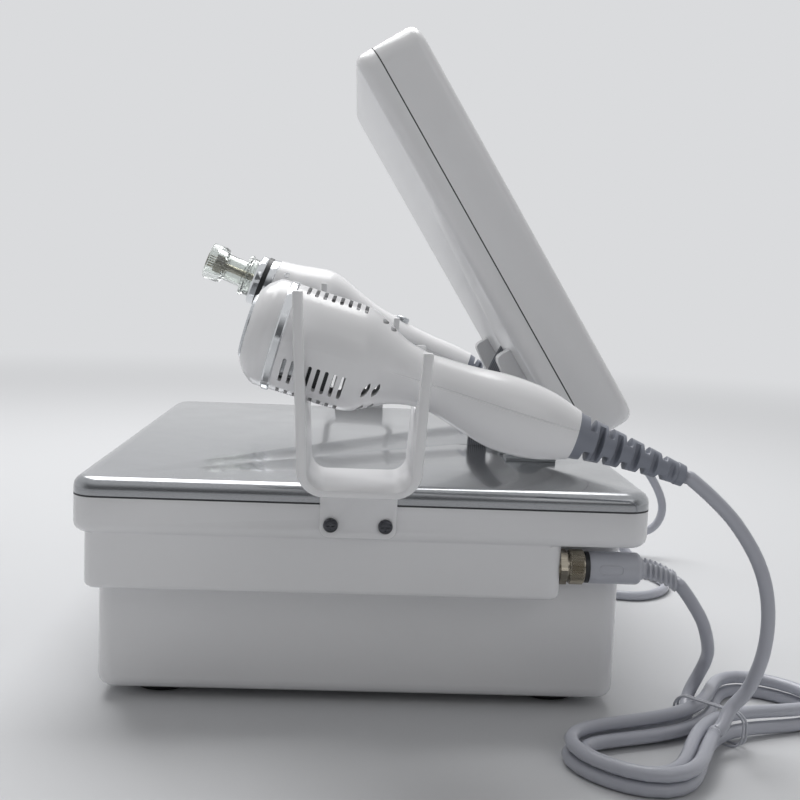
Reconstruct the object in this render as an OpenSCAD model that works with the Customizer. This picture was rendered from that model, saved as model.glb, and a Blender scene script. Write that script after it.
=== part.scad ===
// Radio frequency microneedle machine: a table-top base with a tilting screen,
// a cooling handpiece on the left and a needling handpiece on the right.
// Millimetres, +Z up, the user stands on the -Y side, the feet rest on z = 0.

/* [Base case] */
// Height of the rubber feet under the case
foot_h = 6; // [4:0.5:10]
// Diameter of a rubber foot
foot_d = 34; // [24:1:44]
// Width of the lower case
case_w = 318; // [300:1:330]
// Depth of the lower case
case_d = 282; // [270:1:284]
// Corner radius of the lower case, seen from above
case_r = 10; // [8:1:20]
// Radius along the lower case's bottom edge
case_edge_r = 7; // [3:0.5:8]
// Wall of the plastic cases
wall = 3; // [2.5:0.1:3.5]
// Width of the upper case's rim
rim_w = 371.6; // [368:0.2:378]
// Depth of the upper case's rim
rim_d = 300; // [296:1:310]
// Corner radius of the rim, seen from above
rim_r = 14; // [10:1:24]
// Height of the rim's underside above the table
rim_z = 96.5; // [92:0.5:102]
// Height of the white rim band
rim_h = 19.5; // [16:0.5:26]
// Radius along the rim's bottom edge
rim_edge_r = 5; // [2:0.5:8]
// Set-in of the shoulder's sides from the rim's sides
shoulder_in = 3; // [2.8:0.2:6]
// Height of the shoulder
shoulder_h = 29; // [26:0.5:34]
// Set-back of the shoulder's front wall from the rim's front
shoulder_back = 45.5; // [40:0.5:60]
// Thickness of the shoulder's rear wall outside the lower case
shoulder_rear_t = 2.2; // [1.8:0.1:4]

/* [Deck] */
// Height of the silver deck above the rim
deck_h = 9.8; // [8:0.2:14]
// Wall of the deck
deck_t = 2.5; // [2:0.1:3.5]
// Radius along the deck's top edge
deck_edge_r = 6; // [3:0.5:7]

/* [Screen] */
// Width of the screen head
lid_w = 235.7; // [220:0.1:250]
// Length of the screen head, from its lower to its upper edge
lid_l = 255.4; // [240:0.1:258]
// Thickness of the screen head
lid_t = 40.3; // [36:0.1:46]
// Thickness of the rear cover, up to the seam
lid_rear_t = 12.4; // [9:0.5:16]
// Corner radius of the screen head
lid_r = 14; // [10:1:24]
// Radius along the screen head's front and rear edges
lid_edge_r = 6; // [3:0.5:8]
// Wall of the screen head
lid_wall = 2.8; // [2.2:0.1:3.6]
// Width of the touch glass
glass_w = 204; // [180:1:208]
// Length of the touch glass
glass_l = 222; // [200:1:226]
// Thickness of the touch glass
glass_t = 2.5; // [2:0.1:3]
// Thickness of the display panel
lcd_t = 8; // [5:0.5:12]

/* [Screen hinge] */
// Angle of the screen above the deck as it stands
tilt = 58; // [50:1:64]
// Height of the hinge axis above the deck
hinge_h = 8.2; // [7.8:0.1:10]
// Distance from the hinge axis to the screen's rear face
hinge_back = 18.7; // [16:0.1:22]
// How far the screen's lower edge reaches below the hinge axis, along the screen
hinge_drop = 9.9; // [6:0.1:10]
// Place of each hinge, from the middle
hinge_x = 64; // [56:1:76]
// Diameter of the hinge pin
pin_d = 6; // [5:0.2:7]
// Width of the knuckle on the screen's arm
knuckle_w = 14; // [10:1:18]
// Outer diameter of the knuckle
knuckle_d = 13; // [11:0.5:14]
// Thickness of a hinge ear
ear_t = 3; // [2.5:0.1:4]
// Length of the arm along the screen's rear face
arm_l = 56; // [40:1:64]

/* [Ribbon cable] */
// Width of the ribbon cable
ribbon_w = 12.6; // [10:0.2:16]
// Thickness of the ribbon cable
ribbon_t = 1; // [0.8:0.1:1.4]
// Place of the ribbon cable, from the middle
ribbon_x = -20; // [-30:1:-10]

/* [Cradles] */
// Depth of a cradle, outwards from the rim
cradle_w = 66; // [62:1:72]
// Thickness of the cradle's uprights
cradle_t = 4.8; // [4:0.1:6]
// Thickness of the cradle's floor
cradle_floor_t = 3.4; // [3:0.1:5]
// Height of the cradle's underside above the table
cradle_z = 131.5; // [129:0.5:140]
// Gap between the rear and the front upright at the floor
cradle_gap = 48; // [44:1:54]
// Middle of the cradle, from the middle of the base, towards the rear
cradle_y = 3.2; // [0:0.2:8]
// Lean of the uprights, outwards
cradle_flare = 2.6; // [0:0.1:4]
// Height of the rear horns above the table
rear_horn_z = 225; // [215:1:232]
// Height of the front horns above the table
front_horn_z = 199; // [192:1:206]
// Width of the notch between the horns
notch_w = 56; // [54:0.5:58]
// Inner corner radius of the cradle's floor
cradle_r = 8; // [4:0.5:12]
// Width of the cradle's foot plate
foot_plate_w = 39.5; // [36:0.5:44]
// Thickness of the foot plate
foot_plate_t = 3; // [2.5:0.1:4]
// Height of the foot plate's lower edge above the table
foot_plate_z = 98.8; // [97.5:0.1:101]
// Distance between the two cradle screws
cradle_screw_gap = 28; // [24:0.5:31]
// Diameter of a cradle screw's head
screw_head_d = 7.5; // [6:0.1:8]
// Diameter of a cradle screw's shank
screw_d = 4; // [3:0.1:4.5]

/* [Cooling handpiece] */
// Distance of the handpieces' middle from the rim's side
hand_out = 32.2; // [30:0.2:35]
// Slope of the cooling handpiece, down towards the front
cool_slope = 15.5; // [12:0.5:18]
// Place of the cooling head's face, towards the rear
cool_y = 59.5; // [52:0.5:66]
// Height of the cooling head's face
cool_z = 204; // [202:0.5:208]
// Radius of the cooling head
cool_head_r = 26.3; // [25:0.1:26.6]
// Radius of the cold plate
cold_plate_r = 15.7; // [14:0.1:17]
// Width of the chrome trim ring
trim_w = 4; // [3:0.1:5]
// Wall of the handpieces' shells
hand_wall = 2.2; // [1.8:0.1:2.6]
// Width of a vent slot
vent_w = 1.7; // [1.2:0.1:2]
// Length of a vent slot
vent_l = 11.5; // [8:0.5:12.5]
// Distance from one vent slot to the next
vent_pitch = 4.03; // [3.4:0.01:4.4]
// Number of vent slots in a row
vent_n = 8; // [4:1:9]
// Width of a fan's rotor
fan_d = 36; // [30:0.5:38]

/* [Needling handpiece] */
// Slope of the needling handpiece, down towards the front
needle_slope = 20.5; // [18:0.5:22]
// Place of the needle cartridge's face, towards the rear
needle_y = 131; // [124:1:138]
// Height of the needle cartridge's face
needle_z = 240.5; // [238:0.5:243]
// Radius of the cartridge's crown
crown_r = 15; // [13:0.2:16]
// Radius of the cartridge's neck
cartridge_r = 11; // [9.5:0.1:12]
// Radius of the chrome collar
collar_r = 21; // [19:0.2:22]
// Travel of the needles
needle_stroke = 4; // [1:0.1:5]
// Number of needles along a side of the square pattern
needle_n = 5; // [3:1:6]
// Diameter of the finger button
button_d = 11; // [9:0.5:12]
// Travel of the finger button
button_travel = 1.2; // [0.8:0.1:1.5]

/* [Connectors] */
// Distance of a connector's axis in from the rim's side
plug_in = 14.8; // [12:0.2:16]
// Height of a connector's axis
plug_z = 83.5; // [82:0.5:85]
// Radius of the socket's threaded barrel
barrel_r = 7; // [6:0.1:7.5]
// Outer radius of the knurled lock ring
lock_r = 8.8; // [8.2:0.1:9.2]
// Length of the knurled lock ring
lock_l = 7.9; // [6:0.1:9]
// Radius of the plug's moulded body
plug_r = 8.5; // [8:0.1:9]
// Length of the plug's moulded body
plug_l = 28; // [22:0.5:32]
// Length of the plug's strain relief
relief_l = 19; // [16:0.5:24]

/* [Cords] */
// Diameter of the handpiece cords
cord_d = 7; // [6:0.1:7]
// Half length of the hank's inner loop
hank_a = 80; // [70:1:94]
// Half width of the hank's lobes
hank_b = 55; // [48:1:66]
// Half distance between the runs at the waist
hank_waist = 4.8; // [4.6:0.1:6]
// Free space between neighbouring turns
turn_gap = 0.7; // [0.5:0.1:1]
// Thickness of the tie round the hank
tie_t = 1.4; // [1:0.1:1.5]

/* [Electronics] */
// Height of the steel chassis plate above the case floor
chassis_up = 5; // [4:0.5:8]
// Thickness of the steel chassis plate
chassis_t = 1.5; // [1:0.1:2]
// Length of the boxed power supply
psu_l = 160; // [140:1:170]
// Width of the boxed power supply
psu_w = 98; // [90:1:104]
// Height of the boxed power supply
psu_h = 40; // [34:1:46]
// Thickness of a circuit board
board_t = 1.6; // [1.2:0.1:2]
// Height of the circuit boards above the chassis plate
board_up = 10; // [8:0.5:14]

/* [Fits] */
// Clearance between shells that slide over each other
shell_gap = 0.3; // [0.2:0.05:0.4]
// Radial clearance of a pin or shaft in its bore
shaft_gap = 0.05; // [0.02:0.01:0.08]
// Gap between a handpiece and the saddle that it lies in
seat_gap = 0.3; // [0.2:0.05:0.5]

/* [Hidden] */

white = "#E9EAEA";
silver = "#BCBEC0";
cord_grey = "#A5A8B0";
relief_grey = "#80848E";
dark = "#2A2B2E";
steel = "#9A9DA0";
board_green = "#2F6B3F";

// Heights and faces that several pieces share
case_floor = foot_h + wall;
deck_z = rim_z + rim_h;
deck_top = deck_z + deck_h;
shoulder_z = rim_z - shoulder_h;
shoulder_w = rim_w - 2 * shoulder_in;
shoulder_front = -rim_d / 2 + shoulder_back;
shoulder_rear = case_d / 2 + shell_gap + shoulder_rear_t;
side_face = rim_w / 2;
hand_x = side_face + hand_out;
plug_x = side_face - plug_in;
chassis_z = case_floor + chassis_up;
chassis_top = chassis_z + chassis_t;
board_z = chassis_top + board_up;
hinge_z = deck_top + hinge_h;
hinge_in = 50;
hinge_y = -rim_d / 2 + hinge_in;

// Rounded rectangle about the middle, with true arcs
module round_rect(w, d, r) {
    square([w - 2 * r, d], center = true);
    square([w, d - 2 * r], center = true);
    for (x = [-1, 1], y = [-1, 1])
        translate([x * (w / 2 - r), y * (d / 2 - r)]) circle(r, $fn = 48);
}

module slab(w, d, h, r) linear_extrude(h) round_rect(w, d, r);

// Arc of points for a profile, from one angle to another
function arc(cx, cy, r, from, to, n) =
    [for (i = [0 : n]) let (a = from + (to - from) * i / n) [cx + r * cos(a), cy + r * sin(a)]];

// Block with upright corners of radius r and rounded bottom and top edges
module soft_block(w, d, h, r, bottom_r, top_r) {
    low = bottom_r > 0 ? arc(r - bottom_r, bottom_r, bottom_r, -90, 0, 4) : [[r, 0]];
    high = top_r > 0 ? arc(r - top_r, h - top_r, top_r, 0, 90, 4) : [[r, h]];
    hull() for (x = [-1, 1], y = [-1, 1])
        translate([x * (w / 2 - r), y * (d / 2 - r), 0])
            rotate_extrude($fn = 32) polygon(concat([[0, 0]], low, high, [[0, h]]));
}

// Smooth curve through hand-chosen values: n steps between each two of them
function blend4(a, b, c, d, u) = 0.5 * (2 * b + (c - a) * u + (2 * a - 5 * b + 4 * c - d) * u * u
    + (3 * b - a - 3 * c + d) * u * u * u);
function smooth(keys, n) = [for (i = [0 : len(keys) - 2], j = [0 : n - 1])
    blend4(keys[max(i - 1, 0)], keys[i], keys[i + 1], keys[min(i + 2, len(keys) - 1)], j / n),
    keys[len(keys) - 1]];

// Closed skin over rings that each hold the same number of points, as triangles
module skin(rings) {
    n = len(rings[0]);
    last = len(rings) - 1;
    sides = [for (i = [0 : last - 1], k = [0 : n - 1]) let (k2 = (k + 1) % n)
        each [[i * n + k, i * n + k2, (i + 1) * n + k], [i * n + k2, (i + 1) * n + k2, (i + 1) * n + k]]];
    start = [for (k = [1 : n - 2]) [0, k + 1, k]];
    end = [for (k = [1 : n - 2]) [last * n, last * n + k, last * n + k + 1]];
    polyhedron(points = [for (ring = rings) each ring], faces = concat(sides, start, end), convexity = 6);
}

// Tube of radius r swept along a route, its rings carried on without twist
function unit(v) = v / norm(v);
function heading(route, i) = unit(route[min(i + 1, len(route) - 1)] - route[max(i - 1, 0)]);
function square_to(v, along) = unit(v - (v * along) * along);
function carried(route, i, last) = let (now = square_to(last, heading(route, i)))
    i == len(route) - 1 ? [now] : concat([now], carried(route, i + 1, now));
function tube_rings(route, r, n) = let (side = carried(route, 0, [0.6, 0.3, 0.74]))
    [for (i = [0 : len(route) - 1]) let (t = heading(route, i), a = side[i], b = cross(t, a))
        [for (k = [0 : n - 1]) route[i] + r * (cos(-360 * k / n) * a + sin(-360 * k / n) * b)]];
module tube(route, r, n) skin(tube_rings(route, r, n));
function route_length(route, i = 0) =
    i == len(route) - 1 ? 0 : norm(route[i + 1] - route[i]) + route_length(route, i + 1);

// Base case
module lower_case() color(white) {
    difference() {
        translate([0, 0, foot_h]) soft_block(case_w, case_d, rim_z - foot_h, case_r, case_edge_r, 0);
        translate([0, 0, case_floor]) slab(case_w - 2 * wall, case_d - 2 * wall, rim_z, case_r - wall);
        translate([inlet_x, case_d / 2, inlet_z]) cube([inlet_w, 3 * wall, inlet_h], center = true);
        translate([switch_x, case_d / 2, inlet_z]) cube([switch_w, 3 * wall, switch_h], center = true);
        for (x = [-5 : 5], y = [-1, 1]) translate([x * 14, y * 62, foot_h + wall / 2])
            cube([5, 44, 3 * wall], center = true);
    }
    for (p = chassis_feet) translate([p[0], p[1], case_floor]) difference() {
        cylinder(d = 12, h = chassis_up, $fn = 32);
        translate([0, 0, 1]) cylinder(d = 3, h = chassis_up, $fn = 24);
    }
}
chassis_feet = [for (x = [-1, 1], y = [-1, 1]) [x * 130, y * 108]];

module upper_case() color(white) difference() {
    union() {
        translate([0, 0, rim_z]) soft_block(rim_w, rim_d, rim_h, rim_r, rim_edge_r, 0);
        translate([0, (shoulder_front + shoulder_rear) / 2, shoulder_z])
            soft_block(shoulder_w, shoulder_rear - shoulder_front, shoulder_h + rim_edge_r, 8, 3, 0);
    }
    translate([0, 0, rim_z + wall]) slab(rim_w - 2 * wall, rim_d - 2 * wall, rim_h, rim_r - wall);
    translate([0, 0, rim_z - 1]) slab(case_w - 6 * wall, case_d - 6 * wall, rim_h, case_r - wall);
    translate([0, 0, shoulder_z - 1])
        slab(case_w + 2 * shell_gap, case_d + 2 * shell_gap, shoulder_h + 1, case_r + shell_gap);
    translate([0, (shoulder_front + wall + case_d / 2 - case_r) / 2, shoulder_z + wall])
        slab(shoulder_w - 2 * wall, case_d / 2 - case_r - shoulder_front - wall, shoulder_h, 1);
    for (x = [-1, 1]) translate([x * plug_x, shoulder_front - 1, plug_z]) rotate([-90, 0, 0])
        cylinder(r = barrel_r + shaft_gap, h = wall + 2, $fn = 48);
    for (x = [-1, 1], y = [-1, 1]) translate([x * (side_face - wall / 2), cradle_foot_y
        + y * cradle_screw_gap / 2, cradle_screw_z]) rotate([0, 90, 0])
        cylinder(d = screw_d + shell_gap, h = 2 * wall, center = true, $fn = 32);
}

module deck_plate() color(silver) difference() {
    translate([0, 0, deck_z]) soft_block(rim_w, rim_d, deck_h, rim_r, 0, deck_edge_r);
    translate([0, 0, deck_z - 1])
        slab(rim_w - 2 * wall, rim_d - 2 * wall, deck_h + 1 - deck_t, rim_r - wall);
    translate([ribbon_x, ribbon_deck_y, deck_top])
        cube([ribbon_t + 2 * shell_gap, ribbon_slot_l, 3 * deck_t], center = true);
}

module rubber_feet() color(dark) for (x = [-1, 1], y = [-1, 1])
    translate([x * (case_w / 2 - 32), y * (case_d / 2 - 32), 0]) difference() {
        rotate_extrude($fn = 48) polygon([[0, 0], [foot_d / 2 - 2, 0], [foot_d / 2, 1.5],
            [foot_d / 2 - 1, foot_h], [0, foot_h]]);
        translate([0, 0, -1]) cylinder(d = 9, h = 3.5, $fn = 32);
    }

// Electronics inside the base
chassis_in = 14;
chassis_w = case_w - 2 * chassis_in;
chassis_d = case_d - 2 * chassis_in;
board_w = 0.38 * chassis_w;
board_x = 2 - chassis_w / 2 + board_w / 2;
module chassis_plate() color(steel) translate([0, 0, chassis_z]) difference() {
    slab(chassis_w, chassis_d, chassis_t, 6);
    for (p = chassis_feet) translate([p[0], p[1], -1]) cylinder(d = 3.4, h = chassis_t + 2, $fn = 24);
    for (x = [-5 : 5], y = [-1, 1]) translate([x * 14, y * 62, 0])
        cube([5, 44, 4 * chassis_t], center = true);
}

module power_supply() color("#A9ACAE") translate([psu_x, psu_y, chassis_top]) difference() {
    translate([-psu_w / 2, -psu_l / 2, 0]) cube([psu_w, psu_l, psu_h]);
    for (x = [-4 : 4], y = [-3 : 3]) translate([x * 9, y * 18, psu_h])
        cylinder(d = 5, h = 3, center = true, $fn = 6);
    translate([-psu_w / 2 + 6, -psu_l / 2 - 1, 14]) cube([psu_w - 12, 16, psu_h]);
}
psu_x = 92;
psu_y = 30;

module board(w, d) translate([-w / 2, -d / 2, 0]) cube([w, d, board_t]);
module can(x, y, d, h) translate([x, y, board_t]) cylinder(d = d, h = h, $fn = 32);
module chip(x, y, w, d, h) translate([x - w / 2, y - d / 2, board_t]) cube([w, d, h]);

module rf_board() color(board_green) translate([rf_at[0], rf_at[1], board_z]) {
    board(rf_size[0], rf_size[1]);
    chip(-24, 34, 40, 36, 30);
    for (i = [0 : 2]) can(-34 + 18 * i, -4, 14, 26);
    for (i = [0 : 6]) chip(22 + 3 * i, -34, 1.6, 46, 24);
    chip(31, -34, 22, 46, 4);
    for (i = [0 : 3]) chip(-36 + 16 * i, -44, 10, 14, 5);
}
rf_size = [board_w, chassis_d / 2 + 2];
rf_at = [board_x, 12 - rf_size[1] / 2];

module control_board() color(board_green) translate([control_at[0], control_at[1], board_z]) {
    board(control_size[0], control_size[1]);
    chip(0, 0, 24, 24, 2);
    for (i = [0 : 2]) chip(-38 + 14 * i, 32, 9, 12, 11);
    for (i = [0 : 3]) can(30, -30 + 13 * i, 8, 14);
    chip(-30, -28, 20, 8, 9);
}
control_size = [board_w, 0.35 * chassis_d];
control_at = [board_x, 26 + control_size[1] / 2];

module board_standoffs() color("#B59B55")
    for (b = [[rf_at, rf_size], [control_at, control_size]], x = [-1, 1], y = [-1, 1])
        translate([b[0][0] + x * (b[1][0] / 2 - 5), b[0][1] + y * (b[1][1] / 2 - 5), chassis_top])
            cylinder(d = 6, h = board_up, $fn = 24);

// Mains inlet and rocker switch in the rear wall
inlet_x = -40;
inlet_w = 28;
inlet_h = 20.5;
inlet_depth = 22;
inlet_z = 54;
switch_x = -100;
switch_w = 19.4;
switch_h = 12.8;
rear_face = case_d / 2;
module power_inlet() color(dark) translate([inlet_x, rear_face, inlet_z]) {
    difference() {
        union() {
            rotate([-90, 0, 0]) slab(inlet_w + 8, inlet_h + 6, 2, 3);
            translate([0, -inlet_depth / 2 + 1, 0]) cube([inlet_w, inlet_depth, inlet_h], center = true);
        }
        translate([0, -6.5, 0]) cube([inlet_w - 4, 19, inlet_h - 4], center = true);
    }
    for (p = [[0, 3], [-7, -1], [7, -1]]) translate([p[0], -9, p[1]]) cube([2, 14, 4], center = true);
}
module power_switch() color(dark) translate([switch_x, rear_face, inlet_z]) difference() {
    union() {
        rotate([-90, 0, 0]) slab(switch_w + 3, switch_h + 3.2, 2, 2);
        translate([0, -8, 0]) cube([switch_w, 17, switch_h], center = true);
    }
    translate([0, -2, 0]) cube([switch_w - 3, 9, switch_h - 2.4], center = true);
}
rocker_pivot = [switch_x, rear_face - 2.2, inlet_z];
rocker_tilt = 8;
module power_rocker() color("#1C1D1F") translate(rocker_pivot) rotate([0, 0, -rocker_tilt])
    linear_extrude(switch_h - 2.4 - 2 * shell_gap, center = true)
        polygon(concat([[-6.2, 1.5]], arc(0, 12.5, 11, 232, 308, 8), [[6.2, 1.5], [5.4, -2], [-5.4, -2]]));

// Screen hinge: two bent ears on the deck, a pin, and an arm on the screen's back
module hinge_brackets() color("#C9CBCD") for (x = [-1, 1], side = [-1, 1])
    translate([x * hinge_x + side * (knuckle_w / 2 + shell_gap + ear_t / 2), hinge_y, 0]) difference() {
        union() {
            translate([0, 0, hinge_z]) rotate([90, 0, 90]) linear_extrude(ear_t, center = true)
                polygon(concat([[-15, -hinge_h]], arc(0, 0, 7.5, 160, 20, 10), [[15, -hinge_h]]));
            translate([side * 5, 0, deck_top + 1]) cube([10 + ear_t, 30, 2], center = true);
        }
        translate([0, 0, hinge_z]) rotate([0, 90, 0]) cylinder(d = pin_d, h = 4 * ear_t, center = true, $fn = 48);
        for (y = [-1, 1]) translate([side * 7, y * 9, deck_top]) cylinder(d = 3.4, h = 8, $fn = 24);
    }
pin_l = knuckle_w + 2 * (shell_gap + ear_t);
module hinge_pins() color("#D5D7D9") for (x = [-1, 1]) translate([x * hinge_x, hinge_y, hinge_z])
    rotate([0, 90, 0]) {
        cylinder(d = pin_d, h = pin_l, center = true, $fn = 48);
        for (side = [-1, 1]) translate([0, 0, side * (pin_l / 2 + 0.75)])
            cylinder(d = pin_d + 2.5, h = 1.5, center = true, $fn = 48);
    }

// The screen's own frame: y runs up its rear face, z from the rear face to the front
module on_screen() translate([0, hinge_y, hinge_z]) rotate([tilt, 0, 0])
    translate([0, -hinge_drop, hinge_back]) children();
lid_y = lid_l / 2;

module hinge_arms() color(white) for (x = [-1, 1]) translate([x * hinge_x, hinge_y, hinge_z])
    rotate([tilt, 0, 0]) difference() {
        union() {
            rotate([0, 90, 0]) cylinder(d = knuckle_d, h = knuckle_w, center = true, $fn = 48);
            rotate([90, 0, 90]) linear_extrude(knuckle_w, center = true)
                polygon(concat([[-5.5, 3.4], [-2, hinge_back], [arm_l, hinge_back]],
                    arc(arm_l - 4, hinge_back - 6, 4, 0, -80, 5), [[16, 5], [6, -2.5]]));
        }
        rotate([0, 90, 0]) cylinder(r = pin_d / 2 + shaft_gap, h = knuckle_w + 2, center = true, $fn = 48);
    }

module screen_rear_cover() color(white) on_screen() difference() {
    translate([0, lid_y, 0]) soft_block(lid_w, lid_l, lid_rear_t, lid_r, lid_edge_r, 0);
    translate([0, lid_y, lid_wall])
        slab(lid_w - 2 * lid_wall, lid_l - 2 * lid_wall, lid_rear_t, lid_r - lid_wall);
    translate([ribbon_x, ribbon_lid_v, 0])
        cube([ribbon_t + 2 * shell_gap, ribbon_slot_l, 3 * lid_wall], center = true);
}
module screen_front_shell() color(white) on_screen() translate([0, lid_y, lid_rear_t]) difference() {
    soft_block(lid_w, lid_l, lid_t - lid_rear_t, lid_r, 0, lid_edge_r);
    translate([0, 0, -1]) slab(lid_w - 2 * lid_wall, lid_l - 2 * lid_wall,
        lid_t - lid_rear_t + 1 - lid_wall - glass_t, lid_r - lid_wall);
    translate([0, 0, lid_t - lid_rear_t - glass_t]) slab(glass_w, glass_l, glass_t + 1, 4);
    translate([0, 0, 1]) slab(glass_w - 8, glass_l - 8, lid_t, 2);
}
module touch_glass() color("#15171A") on_screen() translate([0, lid_y, lid_t - glass_t])
    slab(glass_w - 2 * shell_gap, glass_l - 2 * shell_gap, glass_t, 4 - shell_gap);
module lcd_panel() color("#3A3D42") on_screen() translate([0, lid_y, lid_t - glass_t - lcd_t])
    slab(glass_w - 8 - 2 * shell_gap, glass_l - 8 - 2 * shell_gap, lcd_t, 1.5);
screen_board_w = glass_w - 64;
screen_board_d = glass_l - 106;
module screen_board() color(board_green) on_screen() translate([0, lid_y, lid_wall]) {
    for (x = [-1, 1], y = [-1, 1]) translate([x * (screen_board_w / 2 - 10), y * (screen_board_d / 2 - 8), 0])
        cylinder(d = 6, h = 5, $fn = 24);
    translate([0, 0, 5]) {
        board(screen_board_w, screen_board_d);
        chip(-20, 10, 30, 30, 3);
        chip(40, -30, 26, 12, 8);
        for (i = [0 : 3]) can(-50 + 12 * i, -40, 8, 10);
    }
}

// Ribbon cable from the slot in the deck to the slot in the screen's rear cover
ribbon_deck_y = -74;
ribbon_slot_l = 22;
ribbon_lid_v = 56;
ribbon_path = [[-74, 120], [-74, 126], [-75, 140], [-79, 155], [-83, 168], [-88, 180], [-93.5, 190.5]];
module ribbon_cable() color("#8D8F98") {
    path = smooth(ribbon_path, 3);
    edge = function (i, side) let (t = heading(path, i))
        path[i] + side * ribbon_w / 2 * [-t[1], t[0]];
    translate([ribbon_x - ribbon_t / 2, 0, 0]) rotate([90, 0, 90]) linear_extrude(ribbon_t)
        polygon(concat([for (i = [0 : len(path) - 1]) edge(i, 1)],
            [for (i = [len(path) - 1 : -1 : 0]) edge(i, -1)]));
}

// Handpiece shapes: [distance from the head's face, radius, rise of the centre]
cool_rise = 3.5;
cool_keys = [[18.5, cool_head_r, cool_rise], [34, cool_head_r, cool_rise], [48, cool_head_r, cool_rise],
    [57, 25, cool_rise], [66, 20.6, cool_rise], [75, 16, cool_rise], [86, 13.5, cool_rise],
    [96, 13.6, 3.2], [110, 15.6, 1.6], [126, 18.2, 0.3], [140, 18.2, 0], [152, 16.4, 0], [165, 12.4, 0]];
needle_keys = [[57, 22.4, 0], [70, 23.6, 1], [84, 25, 3], [98, 25.6, 5], [110, 24, 5], [124, 20.4, 4],
    [142, 16.8, 2.4], [165, 14.8, 1], [190, 13.4, 0], [215, 13, 0], [232, 12, 0]];
function shell_rings(keys, inset, n) = [for (k = keys)
    [for (i = [0 : n - 1]) [(k[1] - inset) * sin(360 * i / n), k[2] + (k[1] - inset) * cos(360 * i / n), k[0]]]];
function at_station(keys, s, column) = lookup(s, [for (k = keys) [k[0], k[column]]]);

module on_cool() translate([-hand_x, cool_y, cool_z]) rotate([90 + cool_slope, 0, 0]) children();
module on_needle() translate([hand_x, needle_y, needle_z]) rotate([90 + needle_slope, 0, 0]) children();

// Hollow handpiece body between its first and last station
module hand_body(keys, steps, sides) {
    outer = smooth(keys, steps);
    first = keys[0];
    last = keys[len(keys) - 1];
    difference() {
        skin(shell_rings(outer, 0, sides));
        skin(shell_rings(concat([[first[0] - 1, first[1], first[2]]], smooth(keys, 1),
            [[last[0] + 1, last[1], last[2]]]), hand_wall, sides));
    }
}
half_w = 2 * cool_head_r + 10;
module half_space(seam, up) translate([-half_w, up ? seam : seam - 2 * half_w, -half_w])
    cube([2 * half_w, 2 * half_w, 6 * half_w]);
vent_s = 23.5;
module cool_vents() for (a = [-75, -37, 65, 115, 217, 255], i = [0 : vent_n - 1])
    translate([0, cool_rise, vent_s + vent_pitch * i]) rotate([0, 0, 180 - a])
        translate([cool_head_r, 0, 0]) cube([3 * hand_wall, vent_l, vent_w], center = true);

module cool_upper_shell() color(white) on_cool() difference() {
    intersection() { hand_body(cool_keys, 2, 28); half_space(cool_rise, true); }
    cool_vents();
}
module cool_lower_shell() color(white) on_cool() difference() {
    intersection() { hand_body(cool_keys, 2, 28); half_space(cool_rise, false); }
    cool_vents();
}
trim_s = cool_keys[0][0] - trim_w;
cold_flange_s = 5;
cold_flange = 2;
peltier_s = 6.4;
module cool_nose_cap() color(white) on_cool() translate([0, cool_rise, 0]) rotate_extrude($fn = 64)
    polygon([[cold_plate_r + shell_gap, 1.6], [cold_plate_r + 2.2, 1.6], [22, 4.6], [25.4, 9],
        [26, 11], [26, trim_s], [cool_head_r - hand_wall - 0.5, trim_s], [cool_head_r - hand_wall - 0.5, 10.4],
        [21.4, 7.6], [cold_plate_r + cold_flange + shell_gap, 7], [cold_plate_r + cold_flange + shell_gap,
        cold_flange_s - shell_gap], [cold_plate_r + shell_gap, cold_flange_s - shell_gap]]);
module cold_plate() color("#C7CACD") on_cool() translate([0, cool_rise, 0]) rotate_extrude($fn = 64)
    polygon([[0, 0], [cold_plate_r - 1, 0], [cold_plate_r, 1], [cold_plate_r, cold_flange_s],
        [cold_plate_r + cold_flange, cold_flange_s], [cold_plate_r + cold_flange, peltier_s], [0, peltier_s]]);
module cool_trim_ring() color("#D9DBDD") on_cool() translate([0, cool_rise, trim_s])
    rotate_extrude($fn = 64) polygon([[cool_head_r - hand_wall, 0], [cool_head_r - 0.1, 0],
        [cool_head_r + 0.5, 0.7], [cool_head_r + 0.5, trim_w - 0.7], [cool_head_r - 0.1, trim_w],
        [cool_head_r - hand_wall, trim_w]]);
peltier_t = 3.8;
peltier_w = 25;
module cool_peltier() color("#E4E2DA") on_cool()
    translate([-peltier_w / 2, cool_rise - peltier_w / 2, peltier_s]) cube([peltier_w, peltier_w, peltier_t]);
sink_s = peltier_s + peltier_t;
sink_l = 24;
module cool_heatsink() color("#B4B7BA") on_cool() translate([0, cool_rise, sink_s]) intersection() {
    union() {
        translate([-17, -17, 0]) cube([34, 34, 4]);
        for (i = [-4 : 4]) translate([i * 4 - 0.6, -17, 3]) cube([1.2, 34, sink_l - 3]);
    }
    cylinder(r = 22.5, h = sink_l, $fn = 64);
}
fan_s = sink_s + sink_l;
fan_t = 12;
fan_bore = cool_head_r - hand_wall;
module cool_fan_frame() color(dark) on_cool() translate([0, cool_rise, fan_s]) {
    difference() {
        cylinder(r = fan_bore - shell_gap, h = fan_t, $fn = 64);
        translate([0, 0, -1]) cylinder(d = fan_d + 2, h = fan_t + 2, $fn = 64);
    }
    for (a = [0 : 90 : 270]) rotate([0, 0, a]) translate([5, -1.5, fan_t - 2])
        cube([fan_bore - 7, 3, 2]);
    difference() {
        translate([0, 0, fan_t - 2]) cylinder(r = 7, h = 2, $fn = 48);
        translate([0, 0, fan_t - 3]) cylinder(r = 1.5 + shaft_gap, h = 4, $fn = 32);
    }
}
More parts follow.
